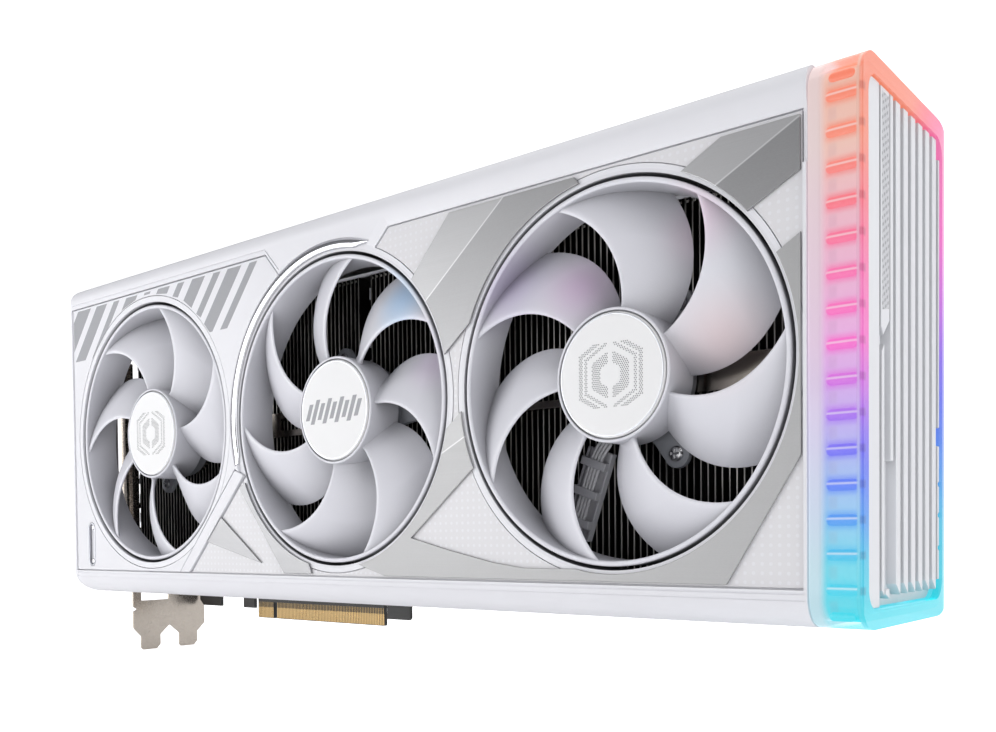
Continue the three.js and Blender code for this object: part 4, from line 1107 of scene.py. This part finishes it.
def trims():
    plates = {
        "triangle_trim": ([(110.2, 30.3), (101, 21), (134.5, 13.2)], DARK_SILVER, "dark_silver"),
        "band_trim": ([(121.6, 41.3), (147.5, 9.7), (162.8, 9.7), *rim(1, TRIM_CLEAR, 256, 205)],
                      DARK_SILVER, "dark_silver"),
        "upper_trim": (upper_trim_outline(), TWO_TONE_UPPER, "silver"),
        "lower_trim": (lower_trim_outline(), LOWER_SILVER, "silver"),
        "corner_trim": ([(342.7, 108.7), (342.7, 121.6), (322, 121.4), *rim(2, TRIM_CLEAR, 65.5, 40.9)],
                        TWO_TONE_CORNER, "silver"),
    }
    for node, (outline, material, slot) in plates.items():
        plate = prism(outline, (0.1, 0.7), edge=0.22)
        solid(f"{node}_plate", plate, material, replaces=[node], angle=30)


# ---------------------------------------------------------------- tail


def tail_outline(depth, front_radius=8.0, rear_radius=13.0):
    radii = [radius - depth for radius in (front_radius, rear_radius, rear_radius, front_radius)]
    spans = [(low + depth, high - depth) for low, high in zip(TAIL_LOW.yz, TAIL_HIGH.yz)]
    return rounded_rect(*spans, radii, 10)


def light_cover():
    opening = rounded_rect((4.2, 61), (4, 129.5), (5.3,) * 4, 10)
    lip = TAIL_HIGH.x - 2.2
    outer = prism(tail_outline(0), (TAIL_LOW.x, TAIL_HIGH.x), "x", edge=0.4)
    plan = rounded_rect((TAIL_LOW.x - 1, TAIL_HIGH.x), (TAIL_LOW.y, TAIL_HIGH.y), (0, 1.2, 8, 0), 10)
    carved("light_ring_cover", outer, [
        ("DIFFERENCE", [prism(tail_outline(1.8), (TAIL_LOW.x - 1, lip), "x"),
                        prism(opening, (lip - 1, TAIL_HIGH.x + 1), "x")]),
        ("INTERSECT", [prism(plan, (TAIL_LOW.z - 1, TAIL_HIGH.z + 1), "z")]),
    ], GLOW_COVER, "light_cover", angle=40, edge=0.35)


def bar_shape(centre, along, across, length, tall, proud):
    """A light bar: a half-round bead lying on a wall. along and across are unit vectors in the wall."""
    out = along.cross(across)
    points = []
    sides = 8
    cap = [math.cos(math.radians(t)) for t in (8, 30, 50, 70, 90)]
    straight = length / 2 - tall / 2
    places = [-straight - tall / 2 * c for c in cap] + [straight + tall / 2 * c for c in reversed(cap)]
    for place in places:
        inward = max(0.0, abs(place) - straight) / (tall / 2)
        scale = math.sqrt(max(0.02, 1 - inward ** 2))
        for k in range(sides + 1):
            turn = math.pi * k / sides
            points.append(centre + along * place + across * (math.cos(turn) * tall / 2 * scale)
                          + out * (math.sin(turn) * proud * scale))
    return skin(points, sides + 1)


def light_strip():
    strip = prism(tail_outline(2.3), (STRIP_START, STRIP_END), "x", holes=[tail_outline(3.7)])
    plan = rounded_rect((TAIL_LOW.x, STRIP_END), (2.2, 67.9), (0, 0.5, 8, 0), 8)
    clip = prism(plan, (TAIL_LOW.z - 1, TAIL_HIGH.z + 1), "z")
    carved("light_strip_body", strip, [("INTERSECT", [clip])], GLOW_INNER, "led_strip", angle=40)
    along = Vector((1, 0, 0))
    bars = Shape()

    def bar(place, across, length, size=1.0):
        tall = PILL_TALL * size
        bars.join(bar_shape(Vector(place), along, Vector(across), length * size, tall, PILL_PROUD))

    heights = [(PILL_FIRST + PILL_PITCH * i, 1.0) for i in range(PILL_COUNT)]
    for z, size in heights + [(2.6, 0.8), (128.6, 0.8)]:
        bar((352.05, PILL_WALL, z), (0, 0, 1), 7.9, size)
        bar((350.6, TAIL_HIGH.y - PILL_WALL, z), (0, 0, -1), 6.0)
    for i in range(6):
        y = 12 + PILL_PITCH * i
        bar((351.0, y, TAIL_HIGH.z - PILL_WALL), (0, 1, 0), 7.0)
        bar((351.0, y, TAIL_LOW.z + PILL_WALL), (0, -1, 0), 7.0)
    solid("light_bars", bars, LIT_BAR, angle=60)


def tail_panel():
    low, high = box_mm("tail_grille")
    base = high.x - 2.6
    front, back, bottom, top = low.y, high.y, low.z, high.z
    face = rounded_rect((front, back), (bottom, top), (5,) * 4)
    plate = prism(face, (low.x, base), "x")
    clip = prism(face, (low.x - 1, high.x + 1), "x")
    ribs = []

    def rib(outline):
        ribs.append(prism(outline, (base - 0.5, high.x), "x", far_edge=0.35))

    rib(rounded_rect((front, 13.3), (bottom, top), (4.6, 0, 0, 4.6)))
    rib([(14.4, 72), (16, 70), (20.4, 74), (20.4, top), (14.4, top)])
    rib([(14.9, bottom + 4), (16.8, bottom + 2.6), (16.8, 68), (14.9, 66)])
    rib([(17.4, bottom + 3), (20.3, bottom + 1.8), (20.3, 8.6), (17.4, 8.6)])
    rib([(21.1, 40), (23.2, 40), (23.2, top), (21.1, top)])
    for i in range(6):
        y = 25.1 + 5.85 * i
        rib([(y, bottom + 5.2), (y + 3.4, bottom + 2.4), (y + 3.4, top - 0.2), (y, top - 0.2)])
    rib([(59.2, bottom + 5), (back, bottom + 5), (back, 46), (59.2, 46)])
    rib([(59.8, 51), (back, 51), (back, top - 5), (59.8, top - 5)])
    window = block((base - 1.6, high.x + 1), (17.4, 23.6), (9, 39))
    holes = [prism(circle((60.15, z), 0.8, 16), (high.x - 3, high.x + 1), "x") for z in (35.5, 27, 18)]
    steps = [("UNION", ribs), ("INTERSECT", [clip]), ("DIFFERENCE", [window] + holes)]
    carved("tail_panel", plate, steps, GRILLE_WHITE, "tail_grille")
    # A black block standing in for the shadow in the gap beside the front rib.
    gap = block((base - 0.2, base + 1.9), (13.35, 14.35), (71, top - 0.6))
    solid("tail_shadow_gap", gap, BLACK_PLASTIC)


def tail_texture():
    """Short slanted ridges on the tail's textured strip: a plain repeated pattern."""
    high = box_mm("tail_grille")[1]
    outline = [(15.0, 76), (19.8, 76.9), (19.8, high.z - 1.2), (15.0, high.z - 1.2)]
    strip = prism(outline, (high.x - 0.1, high.x + 0.03), "x", far_edge=0.02)
    solid("tail_texture", strip, WOVEN_GREY)


# ---------------------------------------------------------------- fans

BLADES = 7
BLADE_CHORD = 35.0
BLADE_ROOT, BLADE_TIP = 18.2, 50.95
BLADE_ROWS = 22
BLADE_BACK = 13.4
TIP_ANGLES = (83.0, 78.8, 110.5)
MIRRORED = (False, True, False)


def blade_point(fan, radius, share, lift, turn, mirrored):
    """A point on a blade: its radius, its share of the chord from the leading edge, its lift along Y."""
    along = min(1.0, max(0.0, (radius - 19) / 32))
    front = 4 - 2 * along
    y = front + (BLADE_BACK - front) * (0.6 * share + 0.4 * share * share) + lift
    drawn = 84.5 + 26.5 * along ** 1.7 - BLADE_CHORD * share - 111
    angle = math.radians(turn + (-drawn if mirrored else drawn))
    return (fan.x + radius * math.cos(angle), y, fan.z + radius * math.sin(angle))


def blade(fan, turn, mirrored):
    shares = [0.0, 0.008, 0.025, 0.055, 0.1, 0.17, 0.26, 0.36, 0.48, 0.6, 0.72, 0.84, 0.93, 0.98, 1.0]
    points = []
    for i in range(BLADE_ROWS + 1):
        radius = BLADE_ROOT + (BLADE_TIP - BLADE_ROOT) * i / BLADE_ROWS
        loop = [(share, -blade_half(share, radius)) for share in shares]
        loop += [(share, blade_half(share, radius)) for share in reversed(shares[1:-1])]
        points += [blade_point(fan, radius, share, lift, turn, mirrored) for share, lift in loop]
    return skin(points, 2 * len(shares) - 2)


def blade_half(share, radius):
    """Half a blade's thickness: round at the leading edge, thin at the trailing edge, filleted at the hub."""
    root = max(0.0, 1 - (radius - BLADE_ROOT) / 2.2) ** 2 * 0.7
    nose = math.sqrt(min(1.0, share / 0.06))
    tail = min(1.0, (1 - share) / 0.5) * 0.72 + 0.28
    if share >= 1.0:
        return 0.12
    return max(0.0, (0.78 + root) * nose * tail)


def print_span(y):
    """A film of ink, a hair proud of its badge."""
    return (y - 0.014, y + 0.01)


def emblem_hexagon(fan, y):
    """A badge print of fine dots: nested hexagons, some rows left out for a woven look."""
    shape = Shape()
    pitch = 0.62
    for i in range(-17, 18):
        for j in range(-16, 17):
            a, b = (i + 0.5 * (j % 2)) * pitch, j * pitch * 0.866
            reach = max(abs(a), abs(a) / 2 + abs(b) * 0.866)
            ring = (7.6 < reach < 10.4) or (3.3 < reach < 5.9)
            gap = abs(a) < 0.75 or abs(reach - 8.9) < 0.35
            if ring and not gap:
                shape.join(disc(0.2, fan.x + a, fan.z + b, print_span(y), count=8))
    return shape


def emblem_bars(fan, y):
    """A badge print of slanted bars in a row."""
    shape = Shape()
    for i in range(-4, 5):
        tall = 4.2 if i % 2 else 2.8
        lean = 0.4 * tall
        a = fan.x + i * 3.1
        quad = [(a - 1.0 - lean, fan.z - tall), (a + 1.0 - lean, fan.z - tall),
                (a + 1.0 + lean, fan.z + tall), (a - 1.0 + lean, fan.z + tall)]
        shape.join(prism(quad, print_span(y)))
    return shape


HUB_PROFILE = [
    (0, 2.6), (17.5, 2.6), (17.5, 1.75), (17.6, 1.5), (17.85, 1.4), (18.1, 1.45), (18.33, 1.62),
    (18.4, 1.9), (18.4, 14.0), (18.2, 14.4), (16.8, 14.4), (16.8, 4.2), (3, 4.2), (3, 6.4), (1.3, 6.4),
    (1.3, 3.4), (0, 3.4),
]
BADGE_PROFILE = [(0, 0.0), (15.9, 0.0), (16.5, 0.05), (16.95, 0.25), (17.15, 0.6), (17.15, 1.15), (0, 1.15)]


def fan_rotor(index):
    fan = FANS[index]
    ring = lathe(ring_profile(50.75, 52.3, fan.front, fan.back, 0.55), fan.x, fan.z, 160)
    shape = Shape().join(ring, lathe(HUB_PROFILE, fan.x, fan.z, 128))
    for i in range(BLADES):
        shape.join(blade(fan, TIP_ANGLES[index] + 360 / BLADES * i, MIRRORED[index]))
    side = fan.side
    tint = (BLADE_PLAIN, BLADE_BLUE, BLADE_PINK)[index]
    solid(f"{side}_blades", shape, tint, fan.body, [f"{side}_fan_rotor"], angle=42)
    low = box_mm(f"{side}_fan_badge")[0].y
    badge = lathe([(radius, low + y) for radius, y in BADGE_PROFILE], fan.x, fan.z, 128)
    rim_line = lathe(ring_profile(16.35, 16.75, low + 0.04, low + 0.3, 0.05), fan.x, fan.z, 128)
    solid(f"{side}_badge_cap", badge, BADGE_WHITE, fan.body, [f"{side}_fan_badge"], angle=40)
    solid(f"{side}_badge_rim", rim_line, GREY_SILVER, fan.body)
    emblem, ink = (emblem_bars, PRINT_GREY) if index == 1 else (emblem_hexagon, PRINT_DARK)
    solid(f"{side}_badge_print", emblem(fan, low), ink, fan.body)
    for part, metal in (("shaft", STEEL), ("bearing", COPPER), ("stator", COPPER)):
        dress(f"{side}_fan_{part}", metal, 0.1)


# The angle of each motor base's first screwed ear, in degrees.
FIRST_EARS = (-125, 120, -62)


def screw(name, x, z, face, radius=2.2):
    """A pan-head screw seen along Y: a domed head with a cross recess."""
    dome = ((0, -1.1), (0.45, -1.06), (0.8, -0.85), (1, -0.4), (1, 0), (0, 0))
    head = lathe([(radius * share, face + y) for share, y in dome], x, z, 40)
    arm, half, span = radius * 0.62, 0.32, (face - 1.3, face - 0.6)
    cross = [block((x - a, x + a), span, (z - b, z + b)) for a, b in ((arm, half), (half, arm))]
    carved(name, head, [("DIFFERENCE", cross)], STEEL)


def fan_mount(index):
    fan = FANS[index]
    cup = [(0, 15.0), (15.9, 15.0), (16.5, 15.25), (16.8, 15.8), (16.8, 18.8), (0, 18.8)]
    shape = lathe(cup, fan.x, fan.z, 96)
    middle = Vector(fan.centre)
    for k in range(3):
        turn = math.radians(FIRST_EARS[index] + 120 * k)
        out = Vector((math.cos(turn), math.sin(turn)))
        side = Vector((-out.y, out.x))
        end = middle + out * 24
        start = middle + out * 14
        tip = arc(tuple(end), 4, math.degrees(turn) - 90, math.degrees(turn) + 90, 12)
        outline = [tuple(start - side * 5.4)] + tip + [tuple(start + side * 5.4)]
        shape.join(prism(outline, MOTOR_EAR, edge=0.25))
        screw(f"{fan.side}_mount_screw_{k + 1}", end.x, end.y, MOTOR_EAR[0])
    solid(f"{fan.side}_motor_base", shape, GREY_PLASTIC,
          replaces=[f"{fan.side}_fan_mount"], angle=35)


# The four-wire lead of each fan, as points from its motor base to its header on the board.
LEADS = {
    "left": [(70, 17.6, 84), (73, 18.2, 92), (77, 18.6, 106), (80, 20, 119), (80, 30, 122), (80, 46, 122),
             (80, 58.7, 122)],
    "middle": [(186, 17.6, 51), (189, 18.4, 42), (194, 18.6, 26), (197, 18.6, 10), (198, 22, 4.6),
               (200, 40, 4.6), (202, 58.7, 5.4)],
    "right": [(276, 17.4, 50), (271.5, 18, 44), (264.6, 18.2, 26), (258, 18.4, 10), (252, 24, 4.6),
              (244, 42, 4.6), (238, 58.7, 5.4)],
}


def fan_lead(side):
    """Four thin wires side by side along the lead's route."""
    route = [Vector(p) for p in LEADS[side]]
    for wire in range(4):
        line, before = [], None
        for i, here in enumerate(route):
            ahead = (route[min(i + 1, len(route) - 1)] - route[max(i - 1, 0)]).normalized()
            flat = Vector((0, 1, 0)) if abs(ahead.y) < 0.6 else Vector((0, 0, 1))
            across = ahead.cross(flat).normalized()
            if before is not None and across.dot(before) < 0:
                across = -across
            before = across
            line.append(here + across * (wire - 1.5) * 1.15)
        replaces = [f"{side}_fan_lead"] if wire == 0 else []
        solid(f"{side}_lead_wire_{wire + 1}", swept(line, 0.5, 8), WIRE_WHITE,
              replaces=replaces)


def cable_guide():
    """A tray for the right fan's lead, with two clips over the wires."""
    start, end = Vector((272.5, 47.5)), Vector((263.3, 22.0))
    along = (end - start).normalized()
    side = Vector((-along.y, along.x))

    def strip(a, b, low, high):
        corners = ((a, low), (b, low), (b, high), (a, high))
        return [tuple(start + along * run + side * off) for run, off in corners]

    length = (end - start).length
    shape = prism(strip(0, length, -4.6, 4.6), (20.0, 21.2), edge=0.25)
    for low, high in ((-4.6, -3.8), (3.8, 4.6)):
        shape.join(prism(strip(0, length, low, high), (19.0, 20.2), edge=0.15))
    for a in (3.0, 12.0, 21.0):
        shape.join(prism(strip(a, a + 2.4, -4.2, 4.2), (16.8, 17.3), edge=0.15))
        for low, high in ((-4.5, -3.9), (3.9, 4.5)):
            shape.join(prism(strip(a, a + 2.4, low, high), (17.0, 20.2), edge=0.1))
    solid("lead_tray", shape, DARK_GREY, replaces=["cable_guide"])


# ---------------------------------------------------------------- cooler


FIN_PITCH, FIN_THICK = 2.2, 0.32


def fins(side, left, right):
    """A stack of thin folded fins whose front edges carry small hooked flanges."""
    node = f"fin_stack_{side}"
    low, high = box_mm(node)
    shape = Shape()
    for i in range(int((right - left) / FIN_PITCH) + 1):
        x = left + FIN_PITCH * i
        if x + 0.3 > right:
            break
        shape.join(block((x, x + FIN_THICK), (low.y, high.y), (low.z, high.z)))
        if x + FIN_PITCH < right:
            for z in (low.z, high.z - 0.35):
                shape.join(block((x, x + 2.1), (low.y + 0.3, high.y - 4), (z, z + 0.3)))
            shape.join(block((x, x + 1.5), (low.y, low.y + 0.25), (high.z - 1.6, high.z - 0.9)))
            shape.join(block((x, x + 0.62), (low.y, low.y + 0.25), (low.z, high.z)))
    solid(f"{side}_fins", shape, BLACK_FIN, replaces=[node], angle=20)
    marks = Shape()
    for i in range(12):
        z = low.z + 5 + 8.6 * i
        marks.join(block((left - 0.6, left - 0.25), (low.y + 0.05, low.y + 0.5), (z, z + 4.2)))
    solid(f"{side}_fin_edge_marks", marks, PANEL_WHITE)


def cross_brace():
    """The dark bar across the cooler that carries the three motors."""
    pads = [disc(16, fan.x, fan.z, BRACE_SPAN, edge=0.3, count=72) for fan in FANS]
    windows = [prism(rounded_rect((a, b), (63.9, 68.6), (1.6,) * 4), (18, 23))
               for a, b in ((84, 112), (122, 148), (198, 226), (236, 264))]
    bar = prism(rounded_rect((12, 338), (61.5, 71), (2.5,) * 4), BRACE_SPAN, edge=0.3)
    carved("brace_bar", bar, [("UNION", pads), ("DIFFERENCE", windows)], DARK_STEEL,
           "cross_brace")


# ---------------------------------------------------------------- board, bracket and ports


def contacts():
    """Gold contact pads on both faces of the edge connector, each with its lead-in."""
    shape = Shape()
    for first, count in ((50.05, 11), (63.55, 71)):
        for i in range(count):
            x = first + i
            for y in PAD_FACES:
                shape.join(block((x, x + 0.7), y, (-14.55, -9.8)))
                shape.join(block((x + 0.25, x + 0.45), y, (-9.8, -7.4)))
    solid("contact_pads", shape, GOLD, replaces=["edge_contact_short", "edge_contact_long"], angle=20)


def port(node):
    """A socket in the bracket: a bright folded shell, a dark tongue and its contacts."""
    low, high = box_mm(node)
    dress(node, STEEL, 0.12)
    mid_y, mid_z = (low.y + high.y) / 2, (low.z + high.z) / 2
    tall = high.z - low.z
    tongue = block((low.x + 2.0, low.x + 9.5), (mid_y - 0.5, mid_y + 0.5),
                   (mid_z - tall * 0.32, mid_z + tall * 0.32), 0.15)
    solid(f"{node}_tongue", tongue, BLACK_PLASTIC)
    pins = Shape()
    for i in range(9):
        z = mid_z - tall * 0.28 + tall * 0.56 * i / 8
        for y in (mid_y - 0.58, mid_y + 0.46):
            pins.join(block((low.x + 2.2, low.x + 7.5), (y, y + 0.12), (z - 0.16, z + 0.16)))
    solid(f"{node}_pins", pins, GOLD)


def board_parts():
    """Small parts on the board near its edges, where they can be seen from below and above."""
    front = 62.0
    dark = Shape()
    for i in range(6):
        dark.join(block((140 + 14 * i, 147 + 14 * i), (front - 1.6, front), (9 + (i % 2) * 2, 16), 0.2))
    solid("board_parts", dark, BLACK_PLASTIC)
    bright = Shape()
    for i in range(10):
        bright.join(block((58 + 7.4 * i, 59.6 + 7.4 * i), (front - 0.5, front), (-3.2, -2.2), 0.1))
    solid("board_capacitors", bright, COPPER)


def power_plug():
    """The power connector and the gold pins in its socket."""
    low, high = box_mm("power_connector")
    pins = Shape()
    for i in range(6):
        x = (low.x + high.x) / 2 + (i - 2.5) * 3
        for share in (0.33, 0.62):
            y = low.y + (high.y - low.y) * share
            pins.join(block((x - 0.3, x + 0.3), (y - 0.3, y + 0.3), (high.z - 8, high.z - 2.2), 0.08))
    solid("power_pins", pins, GOLD)
    dress("power_connector", BLACK_PLASTIC, 0.25)


def plain_parts():
    """The parts that keep their CAD shape, most of them inside or at the back."""
    looks = {
        "backplate": (BACKPLATE_WHITE, 0.3), "cold_plate": (NICKEL, 0.2), "heat_pipe_1": (COPPER, 0.0),
        "heat_pipe_2": (COPPER, 0.0), "heat_pipe_3": (COPPER, 0.0), "circuit_board": (BOARD_BLACK, 0.08),
        "gpu_package": (CHIP, 0.1), "bios_switch_body": (BLACK_PLASTIC, 0.15),
        "bios_switch_slider": (PANEL_WHITE, 0.15), "io_bracket": (NICKEL, 0.15),
        "bracket_post": (NICKEL, 0.2), "retention_bracket": (STEEL, 0.15),
    }
    for node, (material, edge) in looks.items():
        dress(node, material, edge)


# ---------------------------------------------------------------- build

shroud()
left_panel()
printed_bars()
dotted_panel()
diagonal_beam()
crescent()
trims()
light_cover()
light_strip()
tail_panel()
tail_texture()
for number in range(3):
    fan_rotor(number)
    fan_mount(number)
for lead_side in LEADS:
    fan_lead(lead_side)
cable_guide()
fins("left", 18, 166)
fins("right", 172, 340)
cross_brace()
contacts()
for port_node in ("hdmi_port_1", "hdmi_port_2", "display_port_1", "display_port_2", "display_port_3"):
    port(port_node)
board_parts()
power_plug()
plain_parts()

# ---------------------------------------------------------------- studio


def staged(thing):
    bpy.context.scene.collection.objects.link(thing)


def backdrop():
    """A white floor that sweeps up into a white wall behind the card."""
    floor, bend_start, bend = -30.6, 500.0, 400.0
    sweep = arc((bend_start, floor + bend), bend, -90, 0, 6)
    section = [(-900.0, floor), *sweep, (bend_start + bend, 1500.0)]
    points = [at((x, y, z)) for x in (-4500.0, 3500.0) for y, z in section]
    size = len(section)
    faces = [[i, i + 1, size + i + 1, size + i] for i in range(size - 1)]
    mesh = bpy.data.meshes.new("backdrop")
    mesh.from_pydata(points, [], faces)
    mesh.shade_smooth()
    paint = Paint("backdrop_white", (0.9, 0.9, 0.9, 1), 0.6)
    soft = paint.noise(paint.coords(), 0.01, 2.0)
    paint.link(paint.mix(soft, (0.9, 0.9, 0.9, 1), (0.92, 0.92, 0.92, 1)), "Base Color")
    paint.link(paint.mix(soft, (1, 1, 1, 1), (0.99, 0.99, 1, 1)), "Emission Color")
    seen = paint.node("ShaderNodeLightPath").outputs["Is Camera Ray"]
    paint.link(paint.between(seen, 0.28, 1.0), "Emission Strength")
    mesh.materials.append(paint.material)
    staged(bpy.data.objects.new("backdrop", mesh))


def area_light(name, place, target, width, height, power):
    lamp = bpy.data.lights.new(name, "AREA")
    lamp.shape = "RECTANGLE"
    lamp.size, lamp.size_y = width, height
    lamp.energy = power
    thing = bpy.data.objects.new(name, lamp)
    spot = at(place)
    thing.location = spot
    thing.rotation_euler = (at(target) - spot).to_track_quat("-Z", "Y").to_euler()
    staged(thing)


def world():
    """A soft white surround that is brighter to the camera than it is as a light."""
    scene = bpy.context.scene
    scene.world = bpy.data.worlds.new("studio")
    scene.world.use_nodes = True
    tree = scene.world.node_tree
    tree.nodes["Background"].inputs["Color"].default_value = (0.95, 0.96, 1.0, 1)
    seen = tree.nodes.new("ShaderNodeLightPath")
    level = tree.nodes.new("ShaderNodeMapRange")
    level.inputs["To Min"].default_value = 0.2
    level.inputs["To Max"].default_value = 1.05
    tree.links.new(seen.outputs["Is Camera Ray"], level.inputs["Value"])
    tree.links.new(level.outputs["Result"], tree.nodes["Background"].inputs["Strength"])


def camera():
    """The camera at the photograph's angle: close in front of the card's tail end and low."""
    yaw, pitch, roll = (math.radians(angle) for angle in (38.635, -1.40, -0.55))
    forward = Vector((-math.sin(yaw) * math.cos(pitch), math.cos(yaw) * math.cos(pitch), math.sin(pitch)))
    level = Vector((math.cos(yaw), math.sin(yaw), 0))
    upright = level.cross(forward)
    right = math.cos(roll) * level + math.sin(roll) * upright
    up = -math.sin(roll) * level + math.cos(roll) * upright
    lens = bpy.data.cameras.new("camera")
    lens.lens = 36.44
    lens.sensor_width = 36
    lens.shift_x = -0.0242
    lens.shift_y = 0.1941
    lens.clip_start, lens.clip_end = 0.01, 20
    thing = bpy.data.objects.new("camera", lens)
    turn = Matrix((right, up, -forward)).transposed().to_4x4()
    thing.matrix_world = Matrix.Translation(at((441.0, -229.5, 22.7))) @ turn
    bpy.context.scene.collection.objects.link(thing)
    bpy.context.scene.camera = thing


backdrop()
world()
camera()
area_light("key", (-360, -520, 60), (170, 0, 66), 0.6, 0.5, 3.3)
area_light("fill_right", (900, -160, 200), (330, 20, 60), 0.5, 0.7, 1.7)
area_light("low_front", (200, -620, -5), (190, 0, 60), 1.2, 0.3, 1.5)
area_light("top", (170, 60, 700), (170, 20, 60), 1.1, 0.7, 2.6)
bpy.context.scene.view_settings.view_transform = "Standard"
